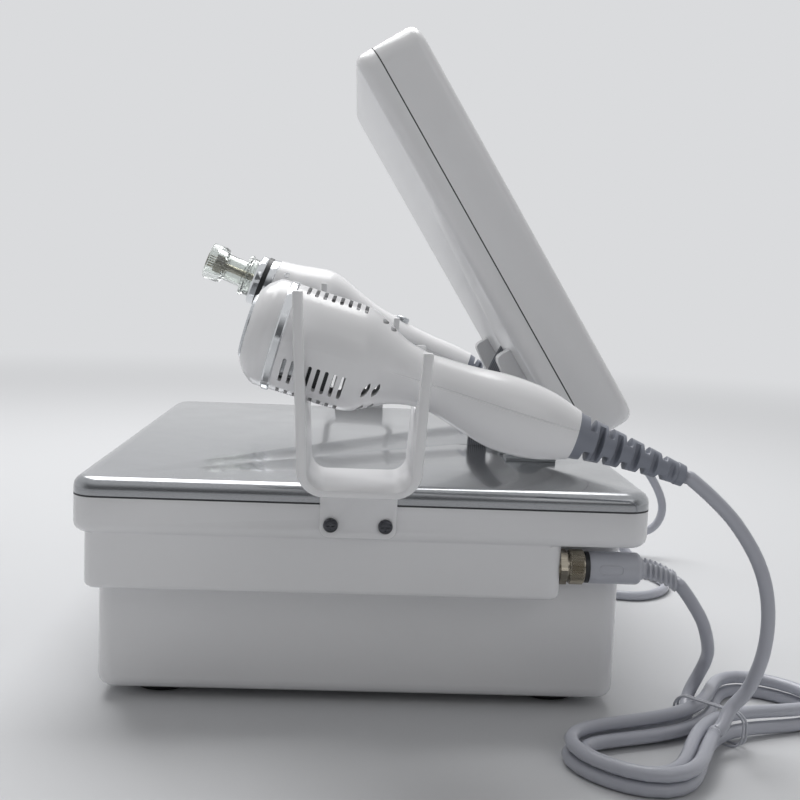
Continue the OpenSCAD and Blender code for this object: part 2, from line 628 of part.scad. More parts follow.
module cool_fan_rotor() color("#1F2023") on_cool() translate([0, cool_rise, fan_s + 1]) {
    cylinder(r = 7.5, h = fan_t - 3.4, $fn = 48);
    cylinder(r = 1.5, h = fan_t - 1.2, $fn = 32);
    for (a = [0 : 360 / 7 : 359]) rotate([0, 0, a]) translate([6.8, 0, 1.2]) rotate([35, 0, 0])
        cube([fan_d / 2 - 7, 1.2, 7.4], center = false);
}
// Ribbed strain relief along a line of centres that droops towards its end
module relief(start, length, r0, r1, droop, ribs) {
    at = function (u) [0, -droop * u * u, start + length * u];
    difference() {
        skin([for (j = [0 : 12]) let (u = j / 12, r = r0 + (r1 - r0) * pow(u, 0.8))
            [for (i = [0 : 19]) at(u) + [r * sin(18 * i), r * cos(18 * i), 0]]]);
        for (i = [0 : ribs - 1], a = [0, 90, 180, 270]) let (u = (i + (a % 180 == 0 ? 0.75 : 1.25)) / (ribs + 1),
            r = r0 + (r1 - r0) * pow(u, 0.8)) translate(at(u)) rotate([0, 0, a]) translate([r, 0, 0])
            cube([2 * max(r - cord_d / 2 - 0.6, 0.6), 1.5 * r, length / (ribs + 1) * 0.36], center = true);
    }
}
cool_tail = cool_keys[len(cool_keys) - 1][0];
needle_tail = needle_keys[len(needle_keys) - 1][0];
module cool_strain_relief() color(relief_grey) on_cool() relief(cool_tail, 58, 11.8, 4.6, 3, 5);
module needle_strain_relief() color(relief_grey) on_needle() relief(needle_tail, 50, 11.4, 4.6, 3, 5);

// Needling handpiece
module needle_upper_shell() color(white) on_needle() difference() {
    intersection() { hand_body(needle_keys, 2, 28); half_space(needle_seam, true); }
    translate([0, button_seat - 30, button_s]) rotate([-90, 0, 0])
        cylinder(d = button_d + 2 * shell_gap, h = 60, $fn = 48);
}
needle_seam = 2;
button_s = 168;
button_seat = 15.2;
module needle_lower_shell() color(white) on_needle()
    intersection() { hand_body(needle_keys, 2, 28); half_space(needle_seam, false); }
module needle_button() color("#C9CCD0") on_needle() translate([0, 0, button_s]) rotate([-90, 0, 0])
    rotate_extrude($fn = 48) polygon(concat([[0, 9.8], [button_d / 2 + 1.2, 9.8], [button_d / 2 + 1.2, 11],
        [button_d / 2, 11]], arc(button_d / 2 - 1.4, 17.2, 1.4, 0, 90, 4), [[0, 18.2]]));
collar_s = 41;
collar_l = 16;
module needle_collar() color("#D9DBDD") on_needle() translate([0, 0, collar_s]) rotate_extrude($fn = 64)
    polygon([[16.4, 0], [collar_r - 1.5, 0], [collar_r, 1.5], [collar_r, 6], [collar_r - 1, 6.6],
        [collar_r - 1, 9.4], [collar_r, 10], [22, 14], [22, collar_l], [16.4, collar_l]]);
crown_bore = 0.64 * crown_r;
crown_l = 0.34 * collar_s;
neck_s = 0.76 * collar_s;
flange_r = crown_r + 2.5;
tail_r = crown_r + 0.8;
tail_end = collar_s + 5;
module needle_cartridge() color([0.85, 0.88, 0.86, 0.5]) on_needle() rotate_extrude($fn = 64)
    polygon([[crown_bore, 0], [crown_r - 1, 0], [crown_r, 1], [crown_r, crown_l - 2], [crown_r - 1, crown_l],
        [cartridge_r, crown_l + 1.5], [cartridge_r, neck_s], [flange_r, neck_s + 1], [flange_r, neck_s + 3],
        [tail_r, neck_s + 4.5], [tail_r, tail_end], [tail_r - 1.8, tail_end], [tail_r - 1.8, neck_s + 2.6],
        [crown_bore, neck_s + 2.6]]);
array_s = 1.2;
module needle_array() color("#B7A65A") on_needle() {
    translate([-6.3, -6.3, array_s + 5]) cube([12.6, 12.6, 8]);
    for (x = [1 : needle_n], y = [1 : needle_n])
        translate([(x - (needle_n + 1) / 2) * 2, (y - (needle_n + 1) / 2) * 2, array_s])
            cylinder(d = 0.8, h = 6, $fn = 16);
    translate([0, 0, array_s + 12]) cylinder(r = 3, h = 44 + needle_stroke, $fn = 32);
}
motor_s = collar_s + 21;
motor_r = 12;
motor_l = 38;
module needle_motor() color(steel) on_needle() difference() {
    union() {
        translate([0, 0, motor_s]) cylinder(r = motor_r, h = motor_l, $fn = 48);
        translate([0, 0, motor_s - 12]) cylinder(r = 7, h = 14, $fn = 48);
        translate([0, 0, motor_s + 2]) cylinder(r = 20, h = 3, $fn = 64);
    }
    translate([0, 0, motor_s - 13]) cylinder(r = 3 + shaft_gap, h = 30, $fn = 32);
}

// Cradles: a bent channel whose uprights are cut into forks
cradle_mid = cradle_gap / 2 + cradle_t / 2;
cradle_foot_y = 2.55;
cradle_screw_z = 105.7;
// Outline of the channel from the rear horn down and round to the front horn
function lean(z) = (z - cradle_z) * tan(cradle_flare);
module cradle_outline() {
    ri = cradle_r;
    ro = cradle_r + cradle_t;
    zi = cradle_z + cradle_floor_t;
    zo = cradle_z;
    g = cradle_gap / 2;
    o = g + cradle_t;
    polygon(concat([[o + lean(rear_horn_z), rear_horn_z]],
        [for (p = arc(o - ro, zo + ro, ro, 0, -90, 8)) p],
        [for (p = arc(-o + ro, zo + ro, ro, -90, -180, 8)) p],
        [[-o - lean(front_horn_z), front_horn_z], [-g - lean(front_horn_z), front_horn_z]],
        [for (p = arc(-g + ri, zi + ri, ri, 180, 270, 8)) p],
        [for (p = arc(g - ri, zi + ri, ri, 270, 360, 8)) p],
        [[g + lean(rear_horn_z), rear_horn_z]]));
}
// Height at which a sloping handpiece clears an upright standing at y
function underside(keys, face_y, face_z, slope, y) = let (s = (face_y - y) / cos(slope),
    r = at_station(keys, s, 1), rise = at_station(keys, s, 2))
    face_z - s * sin(slope) + rise * cos(slope) - r / cos(slope);
function saddle(keys, face_y, face_z, slope, y) = min([for (dy = [-1 : 0.5 : 1])
    underside(keys, face_y, face_z, slope, y + dy * (cradle_t / 2 + 1.5))]) - seat_gap;
module cradle(side, keys, face_y, face_z, slope) color(white) {
    rear_y = cradle_y + cradle_mid + lean(180);
    front_y = cradle_y - cradle_mid - lean(170);
    difference() {
        union() {
            translate([side * (side_face + cradle_w / 2), cradle_y, 0]) rotate([90, 0, 90])
                linear_extrude(cradle_w, center = true) cradle_outline();
            translate([side * (side_face + foot_plate_t / 2), cradle_foot_y, 0]) rotate([90, 0, 90])
                linear_extrude(foot_plate_t, center = true) translate([0, (foot_plate_z + cradle_z + 2) / 2])
                round_rect(foot_plate_w, cradle_z + 2 - foot_plate_z, 5);
        }
        for (p = [[rear_y, 40], [front_y, 40]])
            let (z = saddle(keys, face_y, face_z, slope, p[0]) + notch_w / 2)
            translate([side * hand_x, p[0], 0]) {
                translate([0, 0, z]) rotate([90, 0, 0])
                    cylinder(d = notch_w, h = 30, center = true, $fn = 96);
                translate([-notch_w / 2, -15, z]) cube([notch_w, 30, 100]);
            }
        for (y = [-1, 1]) translate([side * side_face, cradle_foot_y + y * cradle_screw_gap / 2,
            cradle_screw_z]) rotate([0, 90, 0])
            cylinder(d = screw_d + 0.4, h = 3 * foot_plate_t, center = true, $fn = 32);
    }
}
module left_cradle() cradle(-1, cool_keys, cool_y, cool_z, cool_slope);
module right_cradle() cradle(1, needle_keys, needle_y, needle_z, needle_slope);
module cradle_screws() color("#232426") for (x = [-1, 1], y = [-1, 1])
    translate([x * (side_face + foot_plate_t), cradle_foot_y + y * cradle_screw_gap / 2, cradle_screw_z])
        rotate([0, x * 90, 0]) {
            difference() {
                rotate_extrude($fn = 48) polygon(concat([[0, 0], [screw_head_d / 2, 0]],
                    arc(screw_head_d / 2 - 1.6, 0.8, 1.6, 0, 90, 5), [[0, 2.4]]));
                for (a = [0, 90]) rotate([0, 0, a]) translate([0, 0, 2.2])
                    cube([4.4, 1, 1.6], center = true);
            }
            translate([0, 0, -9]) cylinder(d = screw_d, h = 9, $fn = 32);
        }

// Connectors, built along -Y from the shoulder's front wall
module on_plug(side) translate([side * plug_x, shoulder_front, plug_z]) rotate([90, 0, 0]) children();
nut_t = 3.5;
barrel_l = 8.4;
lock_s = 5;
core_s = barrel_l + 0.3;
body_s = lock_s + lock_l + 2.6;
module socket(side) color("#6E6A5A") on_plug(side) {
    translate([0, 0, -wall - 6]) difference() {
        cylinder(r = barrel_r, h = barrel_l + wall + 6, $fn = 48);
        translate([0, 0, wall + 6]) cylinder(r = barrel_r - 1.4, h = barrel_l + 1, $fn = 48);
    }
    difference() {
        cylinder(r = lock_r + 1, h = nut_t, $fn = 6);
        translate([0, 0, -1]) cylinder(r = barrel_r, h = nut_t + 2, $fn = 48);
    }
    translate([0, 0, -wall - 2.5]) difference() {
        cylinder(r = barrel_r + 1.7, h = 2.5, $fn = 48);
        translate([0, 0, -1]) cylinder(r = barrel_r, h = 5, $fn = 48);
    }
}
module left_socket() socket(-1);
module right_socket() socket(1);
module plug_core(side) color(dark) on_plug(side) {
    translate([0, 0, core_s]) cylinder(r = barrel_r - 0.4, h = body_s - core_s, $fn = 48);
    translate([0, 0, lock_s + lock_l + 0.2]) cylinder(r = plug_r - 0.2, h = body_s - lock_s - lock_l - 0.2, $fn = 48);
}
module left_plug_core() plug_core(-1);
module right_plug_core() plug_core(1);
module lock_ring(side) color("#A09A80") on_plug(side) translate([0, 0, lock_s]) difference() {
    union() {
        cylinder(r = lock_r - 0.3, h = lock_l, $fn = 48);
        for (a = [0 : 12 : 348]) rotate([0, 0, a]) translate([lock_r - 0.35, 0, lock_l / 2])
            cube([0.7, 0.9, lock_l - 1.2], center = true);
    }
    translate([0, 0, -1]) cylinder(r = barrel_r + shell_gap, h = lock_l + 2, $fn = 48);
}
module left_lock_ring() lock_ring(-1);
module right_lock_ring() lock_ring(1);
module plug_body(side) color("#8B8F97") on_plug(side) {
    translate([0, 0, body_s]) rotate_extrude($fn = 48) polygon(concat([[0, 0], [plug_r - 0.4, 0],
        [plug_r, 0.6]], arc(plug_r - 3, plug_l - 3, 3, 0, 80, 5), [[0, plug_l]]));
    relief(body_s + plug_l, relief_l, 5.6, 4.3, relief_droop, 5);
}
relief_droop = 6.5;
module left_plug_body() plug_body(-1);
module right_plug_body() plug_body(1);

// Hanks: one unbroken tube in two layers, drawn in at the waist
hank_turns = 2.5;
hank_end = 2.42;
pitch = cord_d + turn_gap;
waist_lift = tie_t + 0.6;
function hank_flat(f) = [hank_a * cos(f), sin(f) * (hank_waist + hank_b * cos(f) * cos(f))];
function hank_turn(u) = 90 - 360 * u + 9 * sin(2 * (90 - 360 * u));
function hank_out(f) = let (d = hank_flat(f + 0.5) - hank_flat(f - 0.5)) unit([d[1], -d[0]]);
function hank_climb(u) = min(max((u - 1) / 0.5, 0), 1);
function hank_point(u) = let (f = hank_turn(u), p = hank_flat(f)
    + pitch * abs(u - hank_turns / 2) * hank_out(f), c = hank_climb(u))
    [p[0], p[1], cord_d / 2 + pitch * c * c * (3 - 2 * c) + waist_lift * pow(abs(sin(f)), 6)];
hank_us = [for (i = [0 : 58]) hank_end * i / 58];
hank_aside = 17;
function aside(v) = [v[0] * cos(hank_aside) + v[1] * sin(hank_aside),
    v[1] * cos(hank_aside) - v[0] * sin(hank_aside), 0];
function hank_ends(p) = let (n = len(p) - 1)
    concat([p[0] + cord_d * aside(unit(flat_step(p[0], p[1])))], p,
    [p[n] + cord_d * unit(flat_step(p[n], p[n - 1]))]);
function flat_step(a, b) = [a[0] - b[0], a[1] - b[1], 0];
hank_route = hank_ends([for (u = hank_us) hank_point(u)]);
// Places a hank: middle of the waist, direction of its length, and which side it winds to
function placed(p, at, turn, flip) = [at[0] + p[0] * cos(turn) - flip * p[1] * sin(turn),
    at[1] + p[0] * sin(turn) + flip * p[1] * cos(turn), p[2]];
left_waist = [-hand_x + 22, -180];
left_turn = 132;
right_waist = [hand_x + 24, -108];
right_turn = 92;
function left_placed(keys) = [for (p = keys) placed(p, left_waist, left_turn, -1)];
function right_placed(keys) = [for (p = keys) placed(p, right_waist, right_turn, 1)];
left_hank = left_placed(hank_route);
right_hank = right_placed(hank_route);
module left_cord_hank() color(cord_grey) tube(left_hank, cord_d / 2, 6);
module right_cord_hank() color(cord_grey) tube(right_hank, cord_d / 2, 6);
module cord_tie(at, turn) color("#C4C6CC") translate([at[0], at[1], 0]) rotate([0, 0, turn])
    translate([tie_at, 0, 0]) rotate([90, 0, 90]) linear_extrude(tie_l, center = true)
        translate([0, tie_h / 2]) difference() {
            round_rect(tie_w, tie_h, 5);
            round_rect(tie_w - 2 * tie_t, tie_h - 2 * tie_t, 5 - tie_t);
        }
tie_at = -5;
tie_l = 3;
tie_w = 2 * (hank_waist + 1.25 * pitch + cord_d / 2 + 2.6 + tie_t);
tie_h = waist_lift + cord_d + pitch + 0.5 + tie_t;
module left_cord_tie() cord_tie(left_waist, left_turn);
module right_cord_tie() cord_tie(right_waist, right_turn);

// Free stretches of the cords
cool_cord_start = [-hand_x, cool_y - cos(cool_slope) * (cool_tail + 58) + 3 * sin(cool_slope),
    cool_z - sin(cool_slope) * (cool_tail + 58) - 3 * cos(cool_slope)];
needle_cord_start = [hand_x, needle_y - cos(needle_slope) * (needle_tail + 50) + 3 * sin(needle_slope),
    needle_z - sin(needle_slope) * (needle_tail + 50) - 3 * cos(needle_slope)];
function plug_cord_start(side) = [side * plug_x, shoulder_front - body_s - plug_l - relief_l,
    plug_z - relief_droop];
function last_of(a) = a[len(a) - 1];
// A cord's route, which leaves its start and meets its end along straight leads
lead = 4;
function cord_route(start, aim, keys, goal, before) = let (back = unit(flat_step(goal, before)))
    concat([start], smooth(concat([start + lead * aim], keys, [goal + lead * back]), 2), [goal]);
function route_end(a) = [last_of(a), a[len(a) - 2]];
function beside(x, keys) = [for (k = keys) [x + k[0], k[1], k[2]]];
left_handpiece_route = cord_route(cool_cord_start, [0, -cos(cool_slope), -sin(cool_slope)],
    concat(beside(-hand_x, [[0, -170, 131], [0, -182, 119], [0, -193, 103], [-0.5, -199, 88],
    [-0.5, -201.5, 72], [1.5, -201.5, 56], [5, -199.5, 42], [8.5, -196, 30.5]]),
    left_placed([[2.3, -16, 22], [10.8, -16.3, 14.5]])), route_end(left_hank)[0], route_end(left_hank)[1]);
left_plug_route = cord_route(plug_cord_start(-1), [0, -1, 0], concat(beside(-plug_x, [[0.5, -177, 66],
    [3, -184.5, 54], [7.5, -189.5, 40], [14, -191.5, 28]]),
    left_placed([[-38, 29, 17], [-33, 31, 9], [-25, 27, 6], [-18, 20.5, 5.5]])), left_hank[0], left_hank[1]);
right_handpiece_route = cord_route(needle_cord_start, [0, -cos(needle_slope), -sin(needle_slope)],
    concat(beside(hand_x, [[0, -152, 129.5], [0, -190, 118], [0, -225, 98], [0, -250, 70], [-1, -261, 46],
    [-1, -256, 28], [3, -240, 19.5], [11, -212, 19], [20, -180, 20], [28, -150, 22.5], [36, -125, 24.5]]),
    right_placed([[2.5, -16.5, 22], [12.5, -16, 15]])), route_end(right_hank)[0], route_end(right_hank)[1]);
right_plug_route = cord_route(plug_cord_start(1), [0, -1, 0], concat(beside(plug_x, [[0, -176, 70],
    [-2, -194, 50], [-11, -212, 24], [-31, -232, 6], [-56, -239, 3.5], [-81, -230, 3.5], [-97, -210, 3.5],
    [-91, -186, 3.5], [-66, -172, 3.5], [-31, -170, 3.5], [4, -172, 3.5], [28, -161, 3.5], [39, -148, 3.5]]),
    right_placed([[-25, 27, 3.6], [-18, 20.5, 4.8]])), right_hank[0], right_hank[1]);
module left_handpiece_cord() color(cord_grey) tube(left_handpiece_route, cord_d / 2, 10);
module left_plug_cord() color(cord_grey) tube(left_plug_route, cord_d / 2, 10);
module right_handpiece_cord() color(cord_grey) tube(right_handpiece_route, cord_d / 2, 10);
module right_plug_cord() color(cord_grey) tube(right_plug_route, cord_d / 2, 10);

// Least free space between a hank's turns, measured on points along its route
hank_dense = [for (i = [0 : 290]) hank_point(hank_end * i / 290)];
hank_least = min([for (i = [0 : 2 : 290]) min([100, for (j = [i + 30 : 1 : 290])
    norm(hank_dense[i] - hank_dense[j])])]) - cord_d;
echo(hank_gap = hank_least, hank_length = route_length(hank_route),
    hank_start = left_hank[0], hank_last = last_of(left_hank), right_start = right_hank[0],
    right_last = last_of(right_hank));

lower_case();
upper_case();
deck_plate();
rubber_feet();
chassis_plate();
power_supply();
rf_board();
control_board();
board_standoffs();
power_inlet();
power_switch();
power_rocker();
hinge_brackets();
hinge_pins();
ribbon_cable();
left_cradle();
right_cradle();
cradle_screws();
left_socket();
right_socket();
left_plug_core();
right_plug_core();
left_plug_body();
right_plug_body();
left_lock_ring();
right_lock_ring();
left_handpiece_cord();
left_cord_hank();
left_plug_cord();
left_cord_tie();
right_handpiece_cord();
right_cord_hank();
right_plug_cord();
right_cord_tie();
screen_front_shell();
screen_rear_cover();
touch_glass();
lcd_panel();
screen_board();
hinge_arms();
cool_upper_shell();
cool_lower_shell();
cool_nose_cap();
cold_plate();
cool_trim_ring();
cool_peltier();
cool_heatsink();
cool_fan_frame();
cool_fan_rotor();
cool_strain_relief();
needle_upper_shell();
needle_lower_shell();
needle_collar();
needle_cartridge();
needle_array();
needle_motor();
needle_button();
needle_strain_relief();
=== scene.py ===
import math

import bmesh
import bpy
import numpy as np
from mathutils import Matrix, Vector


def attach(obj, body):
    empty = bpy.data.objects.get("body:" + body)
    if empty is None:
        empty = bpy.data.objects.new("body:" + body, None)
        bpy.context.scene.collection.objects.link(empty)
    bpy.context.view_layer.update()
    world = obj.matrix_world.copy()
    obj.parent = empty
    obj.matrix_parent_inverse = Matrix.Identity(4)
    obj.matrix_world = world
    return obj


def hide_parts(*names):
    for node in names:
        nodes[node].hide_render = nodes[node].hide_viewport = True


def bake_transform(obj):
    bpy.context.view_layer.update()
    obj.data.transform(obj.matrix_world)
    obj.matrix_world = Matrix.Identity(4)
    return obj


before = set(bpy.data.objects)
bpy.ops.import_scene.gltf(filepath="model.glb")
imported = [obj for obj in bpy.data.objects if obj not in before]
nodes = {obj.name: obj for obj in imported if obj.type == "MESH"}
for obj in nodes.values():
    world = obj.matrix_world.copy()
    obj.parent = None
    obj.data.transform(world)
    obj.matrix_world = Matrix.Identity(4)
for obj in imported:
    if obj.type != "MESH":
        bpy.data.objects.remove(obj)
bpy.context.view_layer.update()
scene = bpy.context.scene
mm = 0.001
print("frame loaded:", len(nodes), "nodes")

# Camera, fitted to the edges of the base, the screen and the near cradle

camera = {"place": (-0.7907, 0.0071, 0.2334), "right": (-0.03509, -0.99866, 0.03798),
          "up": (0.10447, 0.03412, 0.99394), "forward": (0.99391, -0.03884, -0.10314), "lens": 54.0}


def placeCamera(c):
    data = bpy.data.cameras.new("camera")
    data.lens, data.sensor_width = c["lens"], 36
    data.clip_start, data.clip_end = 0.02, 60
    cam = bpy.data.objects.new("camera", data)
    scene.collection.objects.link(cam)
    turn = Matrix((c["right"], c["up"], [-v for v in c["forward"]])).transposed()
    cam.matrix_world = Matrix.Translation(c["place"]) @ turn.to_quaternion().to_matrix().to_4x4()
    scene.camera = cam


placeCamera(camera)
scene.view_settings.view_transform = "Standard"


# Material helpers: colours are written as sRGB hex

def linear(hexText):
    parts = [int(hexText[i:i + 2], 16) / 255 for i in (1, 3, 5)]
    return tuple(v / 12.92 if v <= 0.04045 else ((v + 0.055) / 1.055) ** 2.4 for v in parts) + (1.0,)


def addNode(tree, kind, settings=None, links=None, values=None):
    node = tree.nodes.new(kind)
    for name, value in (settings or {}).items():
        setattr(node, name, value)
    for socket, value in (values or {}).items():
        node.inputs[socket].default_value = value
    for socket, source in (links or {}).items():
        tree.links.new(source, node.inputs[socket])
    return node


def startMaterial(name, colour, rough, values=None):
    m = bpy.data.materials.new(name)
    m.use_nodes = True
    m.node_tree.nodes.clear()
    t = m.node_tree
    shader = addNode(t, "ShaderNodeBsdfPrincipled", values={
        "Base Color": linear(colour), "Roughness": rough, **(values or {})})
    addNode(t, "ShaderNodeOutputMaterial", links={"Surface": shader.outputs["BSDF"]})
    place = addNode(t, "ShaderNodeTexCoord")
    return m, t, shader, place


def mixColours(t, factor, low, high, target):
    # Inputs 6 and 7 and output 2 are the colour sockets of a Mix node
    mix = addNode(t, "ShaderNodeMix", {"data_type": "RGBA"}, links={0: factor}, values={
        6: linear(low), 7: linear(high)})
    t.links.new(mix.outputs[2], target)


def grainBump(t, shader, place, scale, depth):
    noise = addNode(t, "ShaderNodeTexNoise", links={"Vector": place}, values={"Scale": scale, "Detail": 2.0})
    bump = addNode(t, "ShaderNodeBump", links={"Height": noise.outputs["Fac"]}, values={
        "Strength": 1.0, "Distance": depth})
    t.links.new(bump.outputs["Normal"], shader.inputs["Normal"])


def mottle(t, shader, place, scale, low, high):
    noise = addNode(t, "ShaderNodeTexNoise", links={"Vector": place}, values={"Scale": scale, "Detail": 0.5})
    mixColours(t, noise.outputs["Fac"], low, high, shader.inputs["Base Color"])


def roughVary(t, shader, place, scale, low, high):
    noise = addNode(t, "ShaderNodeTexNoise", links={"Vector": place}, values={"Scale": scale, "Detail": 4.0})
    span = addNode(t, "ShaderNodeMapRange", links={"Value": noise.outputs["Fac"]}, values={
        "From Min": 0.3, "From Max": 0.7, "To Min": low, "To Max": high})
    t.links.new(span.outputs["Result"], shader.inputs["Roughness"])


def glossAbs(name, light, shade, rough):
    # Injection moulded ABS from polished tools: bright even white, soft gloss, flow marks a hand wide
    m, t, shader, place = startMaterial(name, light, rough, {"IOR": 1.53})
    mottle(t, shader, place.outputs["Object"], 7, light, shade)
    return m


def silverPaint(name):
    # Silver lacquer with metal flake under clear coat: mirrors what stands on it, with a fine sparkle
    m, t, shader, place = startMaterial(name, "#A9ABAE", 0.2, {
        "Metallic": 0.85, "Coat Weight": 0.4, "Coat Roughness": 0.05})
    spot = place.outputs["Object"]
    flake = addNode(t, "ShaderNodeTexVoronoi", links={"Vector": spot}, values={"Scale": 1600.0})
    mixColours(t, flake.outputs["Distance"], "#ADAFB1", "#9C9EA1", shader.inputs["Base Color"])
    roughVary(t, shader, spot, 35, 0.17, 0.24)
    return m


def brushedMetal(name, colour, rough):
    # Turned or rolled metal: fine parallel lines that stretch the highlight
    m, t, shader, place = startMaterial(name, colour, rough, {"Metallic": 1.0})
    lay = addNode(t, "ShaderNodeMapping", links={"Vector": place.outputs["Object"]}, values={"Scale": (1, 1, 40)})
    roughVary(t, shader, lay.outputs["Vector"], 90, rough * 0.7, rough * 1.4)
    grainBump(t, shader, lay.outputs["Vector"], 180, 0.01 * mm)
    return m


def softRubber(name, light, shade, rough, grain=0):
    # Moulded TPE or PVC: even satin skin, with a fine grain only where the mould was etched
    m, t, shader, place = startMaterial(name, light, rough, {"IOR": 1.5})
    spot = place.outputs["Object"]
    mottle(t, shader, spot, 18, light, shade)
    if grain:
        grainBump(t, shader, spot, grain, 0.02 * mm)
    return m


def circuitBoard(name):
    # FR4 with green solder mask: darker tracks on a 1.3 mm raster under a glossy mask
    m, t, shader, place = startMaterial(name, "#2F6B3F", 0.35, {"IOR": 1.5})
    track = addNode(t, "ShaderNodeTexBrick", links={"Vector": place.outputs["Object"]}, values={
        "Color1": linear("#2F6B3F"), "Color2": linear("#2B6139"), "Mortar": linear("#224C2E"),
        "Scale": 120.0, "Mortar Size": 0.03})
    t.links.new(track.outputs["Color"], shader.inputs["Base Color"])
    return m


def darkGlass(name):
    # Cover glass, black-printed behind: deep gloss with faint finger smears in its roughness
    m, t, shader, place = startMaterial(name, "#0B0C0E", 0.06, {
        "IOR": 1.52, "Coat Weight": 1.0, "Coat Roughness": 0.03})
    roughVary(t, shader, place.outputs["Object"], 14, 0.05, 0.12)
    return m


def clearPlastic(name):
    # Moulded polycarbonate: clear, faintly green at the edges, with slight flow marks
    m, t, shader, place = startMaterial(name, "#EEF2EF", 0.05, {"IOR": 1.58, "Transmission Weight": 0.92})
    grainBump(t, shader, place.outputs["Object"], 130, 0.05 * mm)
    return m


def ribbonJacket(name, wireCount):
    # Flat cable: grey PVC with a groove between each two of its wires, along the cable, each groove darkened with
    # painted shade
    m, t, shader, place = startMaterial(name, "#8E9097", 0.42, {"IOR": 1.5})
    split = addNode(t, "ShaderNodeSeparateXYZ", links={"Vector": place.outputs["UV"]})
    wires = addNode(t, "ShaderNodeMath", {"operation": "MULTIPLY"}, links={0: split.outputs["X"]},
                    values={1: wireCount})
    part = addNode(t, "ShaderNodeMath", {"operation": "PINGPONG"}, links={0: wires.outputs[0]}, values={1: 0.5})
    tone = addNode(t, "ShaderNodeMapRange", {"interpolation_type": "SMOOTHSTEP"}, links={"Value": part.outputs[0]},
                   values={"From Min": 0.04, "From Max": 0.24})
    # Painted shade: the colour darkens into each groove between the wires
    mixColours(t, tone.outputs["Result"], "#45474D", "#999BA2", shader.inputs["Base Color"])
    bump = addNode(t, "ShaderNodeBump", links={"Height": tone.outputs["Result"]}, values={
        "Strength": 1.0, "Distance": 0.3 * mm})
    t.links.new(bump.outputs["Normal"], shader.inputs["Normal"])
    return m


whiteAbs = glossAbs("whiteAbsGloss", "#EFEFF0", "#ECECEE", 0.22)
silverDeck = silverPaint("silverFlakeLacquer")
blackAbs = glossAbs("blackAbsSatin", "#1B1C1E", "#232427", 0.4)
footRubber = softRubber("blackFootRubber", "#1A1A1B", "#232324", 0.7, 900)
zincSteel = brushedMetal("zincPlatedSteel", "#A9ACAF", 0.32)
aluminium = brushedMetal("turnedAluminium", "#C4C7CA", 0.28)
chrome = brushedMetal("chromedTrim", "#DDDFE1", 0.1)
nickelBrass = brushedMetal("nickelledBrass", "#A8A193", 0.3)
greenBoard = circuitBoard("greenCircuitBoard")
cordPvc = softRubber("greyCordPvc", "#B5B7C0", "#B0B2BB", 0.28)
reliefTpe = softRubber("greyReliefTpe", "#858994", "#7F838E", 0.4)
overmould = softRubber("lightOvermouldTpe", "#C0C2C9", "#BABCC4", 0.36)
blackScrew = brushedMetal("blackZincScrew", "#55565A", 0.3)
coverGlass = darkGlass("blackCoverGlass")
clearPc = clearPlastic("clearPolycarbonate")
ribbonPvc = ribbonJacket("greyRibbonPvc", 10)
ceramic = softRubber("aluminaCeramic", "#E3E1D9", "#D8D5CB", 0.5)
# Painted shadow: the dark colour of the seam strips between shells
seamShade = softRubber("seamShadow", "#2E3033", "#2A2C2F", 0.6)
print("materials made")


# Mesh helpers

def linkMesh(name, mesh):
    obj = bpy.data.objects.new(name, mesh)
    scene.collection.objects.link(obj)
    return obj


def newObject(name, verts, faces, material, smooth=True, body=None):
    mesh = bpy.data.meshes.new(name)
    mesh.from_pydata([tuple(v) for v in verts], [], [tuple(f) for f in faces])
    mesh.materials.append(material)
    mesh.update()
    obj = linkMesh(name, mesh)
    tidyNormals(obj)
    mesh.polygons.foreach_set("use_smooth", [smooth] * len(mesh.polygons))
    if body:
        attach(obj, body)
    return obj


def tidyNormals(obj):
    bm = bmesh.new()
    bm.from_mesh(obj.data)
    bmesh.ops.remove_doubles(bm, verts=bm.verts, dist=0.0001 * mm)
    bmesh.ops.recalc_face_normals(bm, faces=bm.faces)
    bm.to_mesh(obj.data)
    bm.free()


def ringSkin(rings, close=True):
    # Skin over rings of equally many points, with both ends closed
    n = len(rings[0])
    verts = [p for r in rings for p in r]
    faces = [(i * n + k, i * n + (k + 1) % n, (i + 1) * n + (k + 1) % n, (i + 1) * n + k)
             for i in range(len(rings) - 1) for k in range(n)]
    if close:
        faces += [tuple(range(n)), tuple(range((len(rings) - 1) * n, len(rings) * n))]
    return verts, faces


def sharpBy(obj, degrees):
    bm = bmesh.new()
    bm.from_mesh(obj.data)
    for e in bm.edges:
        e.smooth = not (len(e.link_faces) == 2 and e.calc_face_angle(0) > math.radians(degrees))
    bm.to_mesh(obj.data)
    bm.free()


# Geometry node tree that welds a CAD node and shades it smooth up to an angle

def smoothTree():
    tree = bpy.data.node_groups.new("weldAndSmooth", "GeometryNodeTree")
    tree.interface.new_socket("Geometry", in_out="INPUT", socket_type="NodeSocketGeometry")
    tree.interface.new_socket("Crease angle", in_out="INPUT", socket_type="NodeSocketFloat")
    tree.interface.new_socket("Geometry", in_out="OUTPUT", socket_type="NodeSocketGeometry")
    source = addNode(tree, "NodeGroupInput")
    weld = addNode(tree, "GeometryNodeMergeByDistance", links={"Geometry": source.outputs["Geometry"]},
                   values={"Distance": 0.001 * mm})
    angle = addNode(tree, "GeometryNodeInputMeshEdgeAngle")
    soft = addNode(tree, "FunctionNodeCompare", {"operation": "LESS_THAN"}, links={
        "A": angle.outputs["Unsigned Angle"], "B": source.outputs["Crease angle"]})
    faces = addNode(tree, "GeometryNodeSetShadeSmooth", {"domain": "FACE"}, links={
        "Geometry": weld.outputs["Geometry"]}, values={"Shade Smooth": True})
    edges = addNode(tree, "GeometryNodeSetShadeSmooth", {"domain": "EDGE"}, links={
        "Geometry": faces.outputs["Geometry"], "Shade Smooth": soft.outputs["Result"]})
    addNode(tree, "NodeGroupOutput", links={"Geometry": edges.outputs["Geometry"]})
    return tree


weldAndSmooth = smoothTree()


